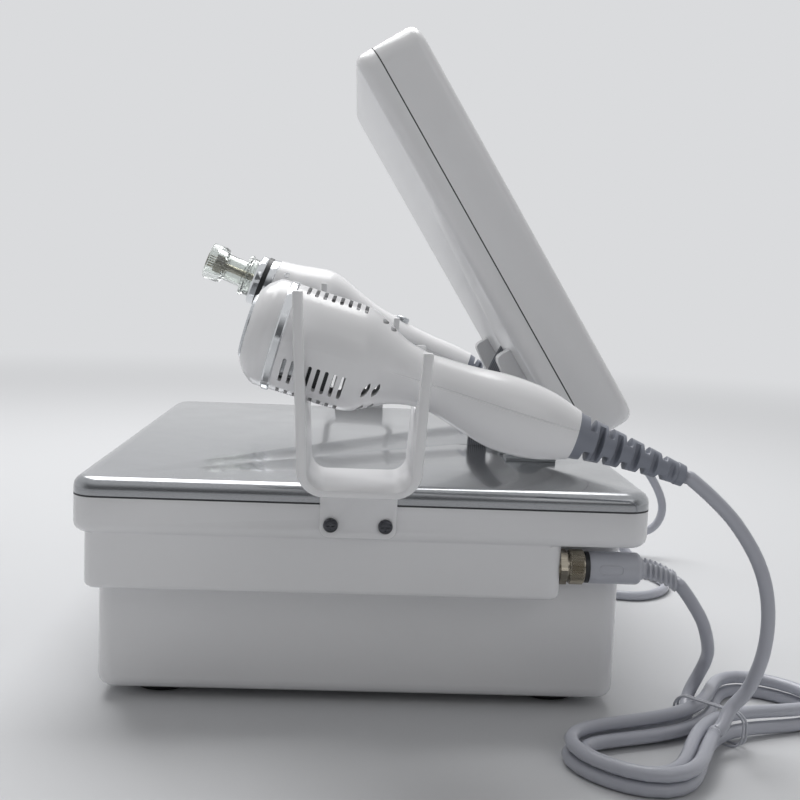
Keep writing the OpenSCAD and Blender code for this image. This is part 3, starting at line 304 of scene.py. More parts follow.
def socketId(tree, name):
    return [s.identifier for s in tree.interface.items_tree if s.name == name and s.in_out == "INPUT"][0]


edges = {"weld": 0.001, "flat": 0.5, "bevelled": 50, "crease": 32}  # mm, then angles in degrees


def dressNode(name, material, bevel):
    # Facets in one plane are joined before the edges are rounded, because loose triangles would stop the bevel
    obj = nodes[name]
    obj.data.materials.clear()
    obj.data.materials.append(material)
    if bevel:
        weld = obj.modifiers.new("weld", "WELD")
        weld.merge_threshold = edges["weld"] * mm
        flat = obj.modifiers.new("flat", "DECIMATE")
        flat.decimate_type, flat.angle_limit = "DISSOLVE", math.radians(edges["flat"])
        edge = obj.modifiers.new("edge", "BEVEL")
        edge.width, edge.segments = bevel * mm, 2
        edge.limit_method, edge.angle_limit = "ANGLE", math.radians(edges["bevelled"])
        edge.use_clamp_overlap = False
    mod = obj.modifiers.new("smooth", "NODES")
    mod.node_group = weldAndSmooth
    mod[socketId(weldAndSmooth, "Crease angle")] = math.radians(edges["crease"])


# Each CAD node that stays visible: its material, and the radius of its edges in millimetres
dress = {
    "lower_case": (whiteAbs, 0.5), "upper_case": (whiteAbs, 0.6), "deck_plate": (silverDeck, 0.4),
    "rubber_feet": (footRubber, 0), "chassis_plate": (zincSteel, 0), "power_supply": (aluminium, 0),
    "rf_board": (greenBoard, 0), "control_board": (greenBoard, 0), "board_standoffs": (nickelBrass, 0),
    "power_inlet": (blackAbs, 0.3), "power_switch": (blackAbs, 0.3), "power_rocker": (blackAbs, 0.3),
    "hinge_brackets": (zincSteel, 0.2), "hinge_pins": (zincSteel, 0), "left_cradle": (whiteAbs, 0.9),
    "right_cradle": (whiteAbs, 1.0), "cradle_screws": (blackScrew, 0), "left_socket": (nickelBrass, 0),
    "right_socket": (nickelBrass, 0), "left_plug_core": (blackAbs, 0), "right_plug_core": (blackAbs, 0),
    "left_lock_ring": (nickelBrass, 0), "right_lock_ring": (nickelBrass, 0),
    "screen_front_shell": (whiteAbs, 0.3), "screen_rear_cover": (whiteAbs, 0.3),
    "touch_glass": (coverGlass, 0.3), "lcd_panel": (blackAbs, 0), "screen_board": (greenBoard, 0),
    "hinge_arms": (whiteAbs, 0.4), "cool_nose_cap": (whiteAbs, 0), "cold_plate": (aluminium, 0),
    "cool_trim_ring": (chrome, 0), "cool_peltier": (ceramic, 0), "cool_heatsink": (aluminium, 0),
    "cool_fan_frame": (blackAbs, 0), "cool_fan_rotor": (blackAbs, 0), "needle_collar": (chrome, 0.2),
    "needle_cartridge": (clearPc, 0.2), "needle_array": (nickelBrass, 0), "needle_motor": (zincSteel, 0),
    "needle_button": (aluminium, 0.2)}
for nodeName, (material, bevel) in dress.items():
    dressNode(nodeName, material, bevel)
print("CAD nodes dressed:", len(dress))


# Paths: each repeats the route of the part's source, in millimetres

def lerpKeys(keys, steps):
    # Catmull-Rom curve through the keys
    keys = [np.array(k, float) for k in keys]
    out = []
    for i in range(len(keys) - 1):
        a, b, c, d = keys[max(i - 1, 0)], keys[i], keys[i + 1], keys[min(i + 2, len(keys) - 1)]
        for j in range(steps):
            u = j / steps
            out.append(0.5 * (2 * b + (c - a) * u + (2 * a - 5 * b + 4 * c - d) * u * u
                              + (3 * b - a - 3 * c + d) * u ** 3))
    return out + [keys[-1]]


def roundedLoop(across, up, corner, steps):
    # Outline with round corners, from its half sizes: each corner's centre with a direction out of it
    return [(sx * (across - corner), sy * (up - corner), math.cos(a), math.sin(a))
            for sx, sy, start in ((1, 1, 0), (-1, 1, 90), (-1, -1, 180), (1, -1, 270))
            for a in (math.radians(start + 90 * k / steps) for k in range(steps + 1))]


def tubeRings(path, radius, sides):
    path = [np.array(p, float) for p in path]
    heads = [path[min(i + 1, len(path) - 1)] - path[max(i - 1, 0)] for i in range(len(path))]
    heads = [h / np.linalg.norm(h) for h in heads]
    side = np.array([0.6, 0.3, 0.74])
    rings = []
    for p, h in zip(path, heads):
        side = side - h * side.dot(h)
        side /= np.linalg.norm(side)
        other = np.cross(h, side)
        rings.append([p + radius * (math.cos(a) * side + math.sin(a) * other)
                      for a in (2 * math.pi * k / sides for k in range(sides))])
    return rings


def tubePiece(name, paths, radius, sides, material, body=None):
    verts, faces = [], []
    for path in paths:
        more, quads = ringSkin([[q * mm for q in r] for r in tubeRings(path, radius, sides)])
        faces += [tuple(i + len(verts) for i in f) for f in quads]
        verts += more
    return newObject(name, verts, faces, material, body=body)


signs = {"left": -1, "right": 1}
cord = {"diameter": 7.0, "sides": 14, "lead": 4.0, "steps": 5}
# Half length, half width, the runs' gap at the waist, strand pitch, and how the ends leave the figure of eight
hank = {"a": 80.0, "b": 55.0, "waist": 4.8, "pitch": 7.7, "turns": 2.5, "end": 2.42, "lift": 2.0, "aside": 17.0,
        "sway": 9.0, "climb": 0.5, "points": 150}


def hankPoint(u):
    # Place on the hank after u turns: a flat figure of eight that climbs one strand in its second turn
    deg = 90 - 360 * u
    f = math.radians(deg + hank["sway"] * math.sin(math.radians(2 * deg)))

    def flat(x):
        return np.array([hank["a"] * math.cos(x), math.sin(x) * (hank["waist"] + hank["b"] * math.cos(x) ** 2)])
    step = math.radians(0.5)
    d = flat(f + step) - flat(f - step)
    out = np.array([d[1], -d[0]]) / np.linalg.norm(d)
    p = flat(f) + hank["pitch"] * abs(u - hank["turns"] / 2) * out
    c = min(max((u - 1) / hank["climb"], 0), 1)
    z = cord["diameter"] / 2 + hank["pitch"] * c * c * (3 - 2 * c) + hank["lift"] * abs(math.sin(f)) ** 6
    return np.array([p[0], p[1], z])


def flatUnit(a, b):
    d = np.array([a[0] - b[0], a[1] - b[1], 0.0])
    return d / np.linalg.norm(d)


def hankRoute(at, turn, flip):
    pts = [hankPoint(hank["end"] * i / hank["points"]) for i in range(hank["points"] + 1)]
    g = math.radians(hank["aside"])
    v = flatUnit(pts[0], pts[1])
    v = np.array([v[0] * math.cos(g) + v[1] * math.sin(g), v[1] * math.cos(g) - v[0] * math.sin(g), 0])
    pts = [pts[0] + cord["diameter"] * v] + pts + [pts[-1] + cord["diameter"] * flatUnit(pts[-1], pts[-2])]
    return placed(pts, at, turn, flip)


def placed(pts, at, turn, flip):
    c, s = math.cos(math.radians(turn)), math.sin(math.radians(turn))
    return [np.array([at[0] + p[0] * c - flip * p[1] * s, at[1] + p[0] * s + flip * p[1] * c, p[2]]) for p in pts]


def cordRoute(start, aim, keys, goal, before):
    # Straight out of the exit, along the keys, and straight into the hank's end
    start, aim = np.array(start, float), np.array(aim, float)
    last = goal + cord["lead"] * flatUnit(goal, before)
    return [start] + lerpKeys([start + cord["lead"] * aim] + keys + [last], cord["steps"]) + [goal]


def pathLength(path):
    return sum(float(np.linalg.norm(b - a)) for a, b in zip(path, path[1:])) * mm


hands = {"cool": {"x": -218.0, "y": 59.5, "z": 204.0, "slope": 15.5, "tail": 165.0, "relief": 58.0, "droop": 3.0,
                  "thick": 11.8, "thin": 4.9},
         "needle": {"x": 218.0, "y": 131.0, "z": 240.5, "slope": 20.5, "tail": 232.0, "relief": 50.0, "droop": 3.0,
                    "thick": 11.4, "thin": 4.6}}
plug = {"x": 171.0, "z": 83.5, "front": -104.5, "body": 15.5, "length": 28.0, "radius": 8.5, "step": 0.4,
        "round": 3.0, "relief": 19.0, "droop": 6.5, "thick": 6.1, "thin": 5.1}


def onHand(h, p):
    a = math.radians(h["slope"])
    return np.array([h["x"] + p[0], h["y"] - p[1] * math.sin(a) - p[2] * math.cos(a),
                     h["z"] + p[1] * math.cos(a) - p[2] * math.sin(a)])


def onPlug(side, p):
    return np.array([side * plug["x"] + p[0], plug["front"] - p[2], plug["z"] + p[1]])


def aimDown(slope):
    return [0, -math.cos(slope), -math.sin(slope)]


def reliefEnd(h):
    return onHand(h, (0, -h["droop"], h["tail"] + h["relief"]))


coolAim, needleAim = (aimDown(math.radians(hands[name]["slope"])) for name in ("cool", "needle"))
plugAim = aimDown(math.atan(2 * plug["droop"] / plug["relief"]))
plugEnd = (0, -plug["droop"], plug["body"] + plug["length"] + plug["relief"])
leftPlace, rightPlace = ((-196, -180), 132, -1), ((242, -108), 92, 1)  # a hank's place, its turn, and its side up
leftHank, rightHank = hankRoute(*leftPlace), hankRoute(*rightPlace)
leftHandRoute = cordRoute(reliefEnd(hands["cool"]), coolAim, [
    [-218, -170, 131], [-218, -182, 119], [-218, -193, 103], [-218.5, -199, 88], [-218.5, -201.5, 72],
    [-216.5, -201.5, 56], [-213, -199.5, 42], [-209.5, -196, 30.5]]
    + placed([(2.3, -16, 22), (10.8, -16.3, 14.5)], *leftPlace), leftHank[-1], leftHank[-2])
leftPlugRoute = cordRoute(onPlug(-1, plugEnd), plugAim, [
    [-170.5, -177, 66], [-168, -184.5, 54], [-163.5, -189.5, 40], [-153.3, -192, 28.9], [-149.4, -189.3, 18.6],
    [-151.6, -184.4, 10], [-158.2, -181, 4.9], [-166.2, -178.8, 3.9]], leftHank[0], leftHank[1])
rightHandRoute = cordRoute(reliefEnd(hands["needle"]), needleAim, [
    [218, -152, 129.5], [218, -190, 118], [218, -225, 98], [218, -250, 70], [217, -261, 46],
    [217, -256, 28], [221, -240, 19.5], [229, -212, 19], [238, -180, 20], [246, -150, 22.5],
    [254, -125, 24.5]] + placed([(2.5, -16.5, 22), (12.5, -16, 15)], *rightPlace), rightHank[-1], rightHank[-2])
rightPlugRoute = cordRoute(onPlug(1, plugEnd), plugAim, [
    [171, -176, 70], [169, -194, 50], [160, -212, 24], [140, -232, 6], [115, -239, 3.5], [90, -230, 3.5],
    [74, -210, 3.5], [80, -186, 3.5], [105, -172, 3.5], [140, -170, 3.5], [175, -172, 3.5], [199, -161, 3.5],
    [210, -148, 3.5]] + placed([(-25, 27, 3.6), (-18, 20.5, 4.8)], *rightPlace), rightHank[0], rightHank[1])


def cordPiece(name, route):
    return tubePiece(name, [route], cord["diameter"] / 2, cord["sides"], cordPvc)


tie = {"at": -5.0, "apart": 3.4, "radius": 0.64, "across": 20.5, "up": 8.9, "corner": 6.5, "middle": 9.3}


def tiePiece(side, place):
    # A wire tie, wound twice round the waist of the hank, its turns closer on top than below
    outline = roundedLoop(tie["across"], tie["up"], tie["corner"], 8)
    loops = []
    for turn in (-1, 1):
        loop = [(tie["at"] + turn * tie["apart"] / 2 * (1 - 0.5 * math.copysign(n, y)),
                 x + tie["corner"] * c, tie["middle"] + y + tie["corner"] * n) for x, y, c, n in outline]
        loops.append(placed(loop + loop[:1], *place))
    obj = tubePiece(side + "WireTie", loops, tie["radius"], 8, overmould, "base")
    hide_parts(side + "_cord_tie")
    return obj


for side, handRoute, plugRoute, hankPath, place, handBody in (
        ("left", leftHandRoute, leftPlugRoute, leftHank, leftPlace, "cooling_handpiece"),
        ("right", rightHandRoute, rightPlugRoute, rightHank, rightPlace, "needling_handpiece")):
    upper = cordPiece(side + "HandpieceCord", handRoute)
    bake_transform(upper)
    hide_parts(side + "_handpiece_cord")
    whole = plugRoute + hankPath[1:]
    lower = cordPiece(side + "PlugCordAndHank", whole)
    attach(lower, "base")
    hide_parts(side + "_plug_cord", side + "_cord_hank")
    wireTie = tiePiece(side, place)
    print(side, "cord made, length", round(pathLength(handRoute) + pathLength(whole), 3), "m")


# Strain reliefs: tapered rubber with notches in turn at the sides and at top and bottom

relief = {"skin": 0.3, "taper": 0.8, "lip": 0.35, "lipFrom": 0.93, "soft": 0.4, "reach": 0.6, "rings": 180,
          "sides": 48}


def reliefRings(form, start, length, ribs, slot):
    # Notches cut the left and right sides and, half a rib before them, top and bottom, down to the cord's skin
    rings = []
    floor = cord["diameter"] / 2 + relief["skin"]
    half, soft = slot / (ribs + 1), relief["soft"] / length
    for j in range(relief["rings"] + 1):
        u = j / relief["rings"]
        full = form["thick"] + (form["thin"] - form["thick"]) * u ** relief["taper"]
        full += relief["lip"] if u > relief["lipFrom"] else 0
        depths = [max(min(max((half + soft - abs(u - (i + at) / (ribs + 1))) / (2 * soft), 0), 1)
                      for i in range(ribs)) for at in (1.25, 0.75)]
        ring = []
        for a in (2 * math.pi * k / relief["sides"] for k in range(relief["sides"])):
            r = full
            for depth, c in zip(depths, (abs(math.sin(a)), abs(math.cos(a)))):
                if c > relief["reach"]:
                    r = min(r, full + (min(floor / c, full) - full) * depth)
            ring.append((r * math.sin(a), r * math.cos(a) - form["droop"] * u * u, start + length * u))
        rings.append(ring)
    return rings


def reliefPiece(name, place, form, start, length, ribs, slot, material, body):
    verts, faces = ringSkin([[place(p) * mm for p in r] for r in reliefRings(form, start, length, ribs, slot)])
    obj = newObject(name, verts, faces, material, body=body)
    sharpBy(obj, 50)
    return obj


for name, body in (("cool", "cooling_handpiece"), ("needle", "needling_handpiece")):
    h = hands[name]
    obj = reliefPiece(name + "StrainRelief", lambda p: onHand(h, p), h, h["tail"], h["relief"],
                      5, 0.125, reliefTpe, body)
    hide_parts(name + "_strain_relief")


def turned(name, place, profile, material, body, sides=64, sharp=35):
    rings = [[place((r * math.sin(2 * math.pi * k / sides), r * math.cos(2 * math.pi * k / sides), z)) * mm
              for k in range(sides)] for r, z in profile]
    verts, faces = ringSkin(rings)
    obj = newObject(name, verts, faces, material, body=body)
    sharpBy(obj, sharp)
    return obj


def plugBody(side):
    start, length, radius, corner = plug["body"], plug["length"], plug["radius"], plug["round"]
    profile = [(radius - 1.2, start), (radius - 0.4, start), (radius, start + 0.6)]
    profile += [(radius, start + 0.6 + (length - corner - 1.2) * i / 6) for i in range(1, 6)]
    profile += [(radius - corner + corner * math.cos(math.radians(a)),
                 start + length - corner + corner * math.sin(math.radians(a))) for a in range(0, 81, 10)]
    body = turned(side + "PlugOvermould", lambda p: onPlug(signs[side], p), profile, overmould, "base", sharp=40)
    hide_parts(side + "_plug_body")
    reliefPiece(side + "PlugRelief", lambda p: onPlug(signs[side], p), plug, start + length - plug["step"],
                plug["relief"] + plug["step"], 6, 0.2, overmould, "base")


emboss = {"long": 12.4, "high": 5.0, "corner": 1.8, "wire": 0.32, "from": 20.5, "lift": 0.6}


def embossPiece(side):
    # Raised outline of the grip field on the outer side of the overmould, left bare inside
    loop = []
    for x, y, c, n in roundedLoop(emboss["long"] / 2, emboss["high"] / 2, emboss["corner"], 6):
        turn = (y + emboss["corner"] * n + emboss["lift"]) / plug["radius"]
        along = emboss["from"] + emboss["long"] / 2 + x + emboss["corner"] * c
        loop.append(onPlug(signs[side], (signs[side] * plug["radius"] * math.cos(turn),
                                         plug["radius"] * math.sin(turn), along)))
    obj = tubePiece(side + "PlugEmboss", [loop + loop[:1]], emboss["wire"], 8, overmould, "base")


for side in signs:
    plugBody(side)
    embossPiece(side)
print("strain reliefs and plugs made")


# Handpiece shells, with the source's stations and finer rings

coolKeys = [[18.5, 26, 3.5], [34, 26, 3.5], [48, 26, 3.5], [57, 25, 3.5], [66, 20.6, 3.5], [75, 16, 3.5],
            [86, 13.5, 3.5], [96, 13.6, 3.2], [110, 15.6, 1.6], [126, 18.2, 0.3], [140, 18.2, 0], [152, 16.4, 0],
            [165, 12.4, 0]]
needleKeys = [[57, 22.4, 0], [70, 23.6, 1], [84, 25, 3], [98, 25.6, 5], [110, 24, 5], [124, 20.4, 4],
              [142, 16.8, 2.4], [165, 14.8, 1], [190, 13.4, 0], [215, 13, 0], [232, 12, 0]]
shell = {"wall": 2.2, "sides": 96, "steps": 6}
partLine = {"size": 0.4, "from": 68, "full": 84}  # groove where the two halves meet, along the handle only
vent = {"pitch": 4.03, "count": 8, "wide": 1.8, "rise": 3.5,
        "rows": ((-75, 22.7, 11.5), (-33, 22.7, 13.6), (74, 23.7, 11.5), (106, 23.7, 11.5), (213, 22.7, 13.6),
                 (255, 22.7, 11.5))}  # angle of the row, start from the head's face, slot length
lens = {"angles": (-72, -31, 74, 106, 211, 252), "at": ((62.2, 9.0), (66.8, 8.2)), "wide": 2.8, "lean": -14}
cutReach = (-5, 4)  # how far the cutting prisms go in and out of the shell's outer face
outlinePoints = [2 * math.pi * k / 16 for k in range(16)]


def halfShell(h, keys, seam, upper):
    # Wall on one side of the seam's plane, its outer edge drawn in along the parting line
    rings, count = [], shell["sides"] // 2
    for s, r, rise in lerpKeys(keys, shell["steps"]):
        cut = seam - rise
        lip = partLine["size"] * float(np.interp(s, [partLine["from"], partLine["full"]], [0.03, 1]))
        ring = []
        for rad in (r, r - shell["wall"]):
            a0 = math.asin(max(-0.98, min(0.98, cut / rad)))
            reach = math.pi - 2 * a0 if upper else -math.pi - 2 * a0
            span = [a0 + reach * k / count for k in range(count + 1)]
            if rad == r:
                span[1:1] = [a0 + math.copysign(lip / r, reach)]
                span[-1:-1] = [a0 + reach - math.copysign(lip / r, reach)]
            pts = [(rad * math.cos(a), rise + rad * math.sin(a), s) for a in span]
            if rad == r:
                inner = math.sqrt((r - lip) ** 2 - cut ** 2)
                pts[0], pts[-1] = (inner, seam, s), (-inner, seam, s)
            ring += pts if rad == r else pts[::-1]
        rings.append([onHand(h, p) * mm for p in ring])
    return ringSkin(rings)


def slotOutline(long, wide):
    return [((long - wide) / 2 * (1 if math.sin(t) > 0 else -1) + wide / 2 * math.sin(t), wide / 2 * math.cos(t))
            for t in outlinePoints]


def lensOutline(long, wide, lean):
    c, n = math.cos(math.radians(lean)), math.sin(math.radians(lean))
    flat = [(long / 2 * math.cos(t), wide / 2 * math.sin(t) * abs(math.sin(t)) ** 0.7) for t in outlinePoints]
    return [(x * c - y * n, x * n + y * c) for x, y in flat]


def cutters(h, keys):
    # Prisms that pierce the shell's wall: rows of slots round the head, and pointed holes in pairs at the neck
    cuts = [(deg, start + vent["pitch"] * i, slotOutline(long, vent["wide"]))
            for deg, start, long in vent["rows"] for i in range(vent["count"])]
    cuts += [(deg, at, lensOutline(long, lens["wide"], lens["lean"]))
             for deg in lens["angles"] for at, long in lens["at"]]
    verts, faces = [], []
    for deg, at, outline in cuts:
        a, base, n = math.radians(180 - deg), len(verts), len(outline)
        radius = float(np.interp(at, [k[0] for k in keys], [k[1] for k in keys]))
        for depth in (radius + cutReach[0], radius + cutReach[1]):
            for across, along in outline:
                q = (depth * math.cos(a) - across * math.sin(a),
                     vent["rise"] + depth * math.sin(a) + across * math.cos(a), at + along)
                verts.append(onHand(h, q) * mm)
        faces += [(base + k, base + (k + 1) % n, base + n + (k + 1) % n, base + n + k) for k in range(n)]
        faces += [tuple(base + k for k in range(n)), tuple(base + n + k for k in range(n))]
    return verts, faces


def cutWith(obj, cutter):
    mod = obj.modifiers.new("cut", "BOOLEAN")
    mod.operation, mod.object, mod.solver = "DIFFERENCE", cutter, "EXACT"
    mesh = bpy.data.meshes.new_from_object(obj.evaluated_get(bpy.context.evaluated_depsgraph_get()))
    obj.modifiers.clear()
    old = obj.data
    obj.data = mesh
    bpy.data.meshes.remove(old)


def shellPieces():
    cutter = newObject("ventCutter", *cutters(hands["cool"], coolKeys), whiteAbs)
    for hand, keys, seam, body in (("cool", coolKeys, vent["rise"], "cooling_handpiece"),
                                   ("needle", needleKeys, 1.0, "needling_handpiece")):
        for half in ("upper", "lower"):
            verts, faces = halfShell(hands[hand], keys, seam, half == "upper")
            obj = newObject(hand + half.capitalize() + "Shell", verts, faces, whiteAbs)
            if hand == "cool":
                cutWith(obj, cutter)
            obj.data.materials.clear()
            obj.data.materials.append(whiteAbs)
            sharpBy(obj, 35)
            obj.data.polygons.foreach_set("use_smooth", [True] * len(obj.data.polygons))
            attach(obj, body)
            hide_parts(hand + "_" + half + "_shell")
    bpy.data.objects.remove(cutter)


shellPieces()
print("handpiece shells made")


# Ribbon cable between the deck and the screen head, in its own plane

ribbon = {"x": -20.0, "width": 12.6, "wires": 10, "thick": 1.0, "groove": 0.3,
          "keys": [(-74, 120), (-74, 126), (-75, 140), (-79, 155), (-83, 168), (-88, 180), (-93.5, 190.5)],
          "low": (0, -0.075, 0.128), "high": (0, -0.0925, 0.188)}


def ribbonPiece(r):
    # The keys run in the plane of y and z, the cable's width lies in that plane too, and its thickness along x
    path = lerpKeys(r["keys"], 8)
    heads = [path[min(i + 1, len(path) - 1)] - path[max(i - 1, 0)] for i in range(len(path))]
    heads = [h / np.linalg.norm(h) for h in heads]
    steps = r["wires"] * 6
    across = [i / steps for i in range(steps + 1)]
    depth = [r["thick"] / 2 - r["groove"] * (1 - abs(math.sin(math.pi * r["wires"] * u)) ** 0.5) for u in across]
    section = [(u, d) for u, d in zip(across, depth)] + [(u, -d) for u, d in zip(across[::-1], depth[::-1])]
    rings, marks, run = [], [], 0.0
    for i, (p, h) in enumerate(zip(path, heads)):
        run += float(np.linalg.norm(p - path[i - 1])) if i else 0
        side = np.array([-h[1], h[0]])
        rings.append([np.array([r["x"] + d, *(p + (u - 0.5) * r["width"] * side)]) * mm for u, d in section])
        marks += [(u, run * mm) for u, d in section]
    verts, faces = ringSkin(rings)
    mesh = bpy.data.meshes.new("ribbonCable")
    mesh.from_pydata([tuple(v) for v in verts], [], faces)
    layer = mesh.uv_layers.new(name="alongCable")
    for loop in mesh.loops:
        layer.data[loop.index].uv = marks[loop.vertex_index]
    mesh.materials.append(ribbonPvc)
    mesh.polygons.foreach_set("use_smooth", [True] * len(mesh.polygons))
    obj = linkMesh("ribbonCable", mesh)
    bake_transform(obj)
    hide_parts("ribbon_cable")
    print("ribbon cable made, length", round(run, 1), "mm")


ribbonPiece(ribbon)


# Knurl of the lock rings: a geometry node tree that stands small pyramids on rows of circles

def knurlTree():
    tree = bpy.data.node_groups.new("diamondKnurl", "GeometryNodeTree")
    tree.interface.new_socket("Geometry", in_out="INPUT", socket_type="NodeSocketGeometry")
    for name, kind in (("Radius", "Float"), ("Row pitch", "Float"), ("Pyramid size", "Float"), ("Height", "Float"),
                       ("Around", "Int"), ("Rows", "Int"), ("Material", "Material")):
        tree.interface.new_socket(name, in_out="INPUT", socket_type="NodeSocket" + kind)
    tree.interface.new_socket("Geometry", in_out="OUTPUT", socket_type="NodeSocketGeometry")
    given = addNode(tree, "NodeGroupInput").outputs
    circle = addNode(tree, "GeometryNodeMeshCircle", links={
        "Vertices": given["Around"], "Radius": given["Radius"]})
    step = addNode(tree, "ShaderNodeCombineXYZ", links={"Z": given["Row pitch"]})
    line = addNode(tree, "GeometryNodeMeshLine", links={"Count": given["Rows"], "Offset": step.outputs[0]})
    index = addNode(tree, "GeometryNodeInputIndex")
    share = addNode(tree, "ShaderNodeMath", {"operation": "DIVIDE"}, links={1: given["Around"]},
                    values={0: math.pi})
    turn = addNode(tree, "ShaderNodeMath", {"operation": "MULTIPLY"}, links={
        0: index.outputs[0], 1: share.outputs[0]})
    about = addNode(tree, "ShaderNodeCombineXYZ", links={"Z": turn.outputs[0]})
    rows = addNode(tree, "GeometryNodeInstanceOnPoints", links={
        "Points": line.outputs["Mesh"], "Instance": circle.outputs["Mesh"], "Rotation": about.outputs[0]})
    seats = addNode(tree, "GeometryNodeRealizeInstances", links={"Geometry": rows.outputs["Instances"]})
    place = addNode(tree, "GeometryNodeInputPosition")
    out = addNode(tree, "ShaderNodeVectorMath", {"operation": "MULTIPLY"}, links={0: place.outputs[0]},
                  values={1: (1, 1, 0)})
    face = addNode(tree, "FunctionNodeAlignRotationToVector", {"axis": "Z"}, links={"Vector": out.outputs[0]})
    pyramid = addNode(tree, "GeometryNodeMeshCone", links={
        "Radius Bottom": given["Pyramid size"], "Depth": given["Height"]},
                      values={"Vertices": 4, "Radius Top": 0.0})
    studs = addNode(tree, "GeometryNodeInstanceOnPoints", links={
        "Points": seats.outputs["Geometry"], "Instance": pyramid.outputs["Mesh"], "Rotation": face.outputs[0]})
    solid = addNode(tree, "GeometryNodeRealizeInstances", links={"Geometry": studs.outputs["Instances"]})
    coat = addNode(tree, "GeometryNodeSetMaterial", links={"Geometry": solid.outputs["Geometry"],
                                                          "Material": given["Material"]})
    addNode(tree, "NodeGroupOutput", links={"Geometry": coat.outputs["Geometry"]})
    return tree


diamondKnurl = knurlTree()
knurl = {"Radius": 8.78, "Row pitch": 0.62, "Pyramid size": 0.62, "Height": 0.5, "Around": 46, "Rows": 11,
         "Material": nickelBrass}
knurlStart = 5.8


def knurlPiece(side):
    empty = linkMesh("knurlSource", bpy.data.meshes.new("knurlSource"))
    mod = empty.modifiers.new("knurl", "NODES")
    mod.node_group = diamondKnurl
    for name, value in knurl.items():
        mod[socketId(diamondKnurl, name)] = value
    mesh = bpy.data.meshes.new_from_object(empty.evaluated_get(bpy.context.evaluated_depsgraph_get()))
    bpy.data.objects.remove(empty)
    mesh.name = side + "RingKnurl"
    for v in mesh.vertices:
        v.co = onPlug(signs[side], (v.co.x, v.co.y, v.co.z + knurlStart)) * mm
    obj = linkMesh(side + "RingKnurl", mesh)
    tidyNormals(obj)
    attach(obj, side + "_ring")


for side in signs:
    knurlPiece(side)
print("lock rings knurled")


# Seams: painted shadow, a thin dark strip that stands just proud of the joint between two shells in place of the
# shaded gap

seamStrip = {"proud": 0.03, "deep": 1.2}


def seamBand(name, place, size, corner, at, body, half):
    loop = roundedLoop(size[0] / 2, size[1] / 2, corner, 10)
    out, back = corner + seamStrip["proud"], corner - seamStrip["deep"]
    section = ((out, -half), (out, half), (back, half), (back, -half))
    rings = [[place((x + r * c, y + r * n, at + z)) * mm for r, z in section] for x, y, c, n in loop + loop[:1]]
    verts, faces = ringSkin(rings, close=False)
    return newObject(name, verts, faces, seamShade, smooth=False, body=body)


head = {"tilt": 58.0, "pivot": (-100.0, 134.0), "drop": 9.9, "back": 18.7, "size": (235.7, 255.4), "seam": 12.4,
        "corner": 14.0}
base = {"rim": (371.6, 300.0), "corner": 14.0, "seam": 116.0}


def onHead(p):
    a = math.radians(head["tilt"])
    y, z = p[1] + head["size"][1] / 2 - head["drop"], p[2] + head["back"]
    return np.array([p[0], head["pivot"][0] + y * math.cos(a) - z * math.sin(a),
                     head["pivot"][1] + y * math.sin(a) + z * math.cos(a)])


seamBand("deckSeam", lambda p: np.array(p, float), base["rim"], base["corner"], base["seam"], "base", 0.45)
seamBand("headSeam", onHead, head["size"], head["corner"], head["seam"], "screen", 0.35)
print("seams made")


# Needling handpiece details: a dark band on the collar, and a sighting hole on each side of the shell, its shaded
# inside painted as a black disc in a chrome rim

def onNeedle(p):
    return onHand(hands["needle"], p)


def onNeedleShell(deg, at, radius, rise):
    # Frame of a spot on the shell: across, along and out of the surface
    a = math.radians(deg)
    out = np.array([math.cos(a), math.sin(a), 0])
    side = np.array([-math.sin(a), math.cos(a), 0])
    spot = np.array([0, rise, at]) + radius * out
    return lambda p: onNeedle(spot + p[0] * side + p[1] * np.array([0, 0, 1]) + p[2] * out)


band = {"from": 47.3, "to": 50.7, "outer": 21.4, "inner": 19.4}
hole = {"angle": 145, "at": 66, "shell": 22.6, "rise": 0.4, "inner": 1.6, "rim": 2.3, "foot": 2.6}
turned("collarBand", onNeedle, [(band["inner"], band["from"]), (band["outer"], band["from"]),
                                (band["outer"], band["to"]), (band["inner"], band["to"])],
       blackAbs, "needling_handpiece")
for where, deg in (("Near", hole["angle"]), ("Far", 180 - hole["angle"])):
    spot = onNeedleShell(deg, hole["at"], hole["shell"], hole["rise"])
    turned("holeRim" + where, spot, [(hole["inner"], 0.1), (hole["inner"], 0.9), (hole["rim"], 1.0),
                                     (hole["foot"], 0.5), (hole["foot"], -0.5)],
           chrome, "needling_handpiece", 32)
    # Painted shade: a black disc in place of the shaded inside of the hole
    turned("hole" + where, spot, [(hole["inner"], -0.5), (hole["inner"], 0.5)], blackAbs, "needling_handpiece", 32)
print("needling handpiece trimmed")


# Floor, backdrop and light

# Strength of the light and colour in reflections, each on the camera's side and on the far side
sky = {"lit": (0.14, 0.36), "seen": ("#5E5F61", "#DADBDD"), "turn": (-0.8, 0.1), "climb": (0.25, 0.8)}
floorDisc = {"radius": 9.0, "sides": 64, "near": 0.55, "far": 2.6}


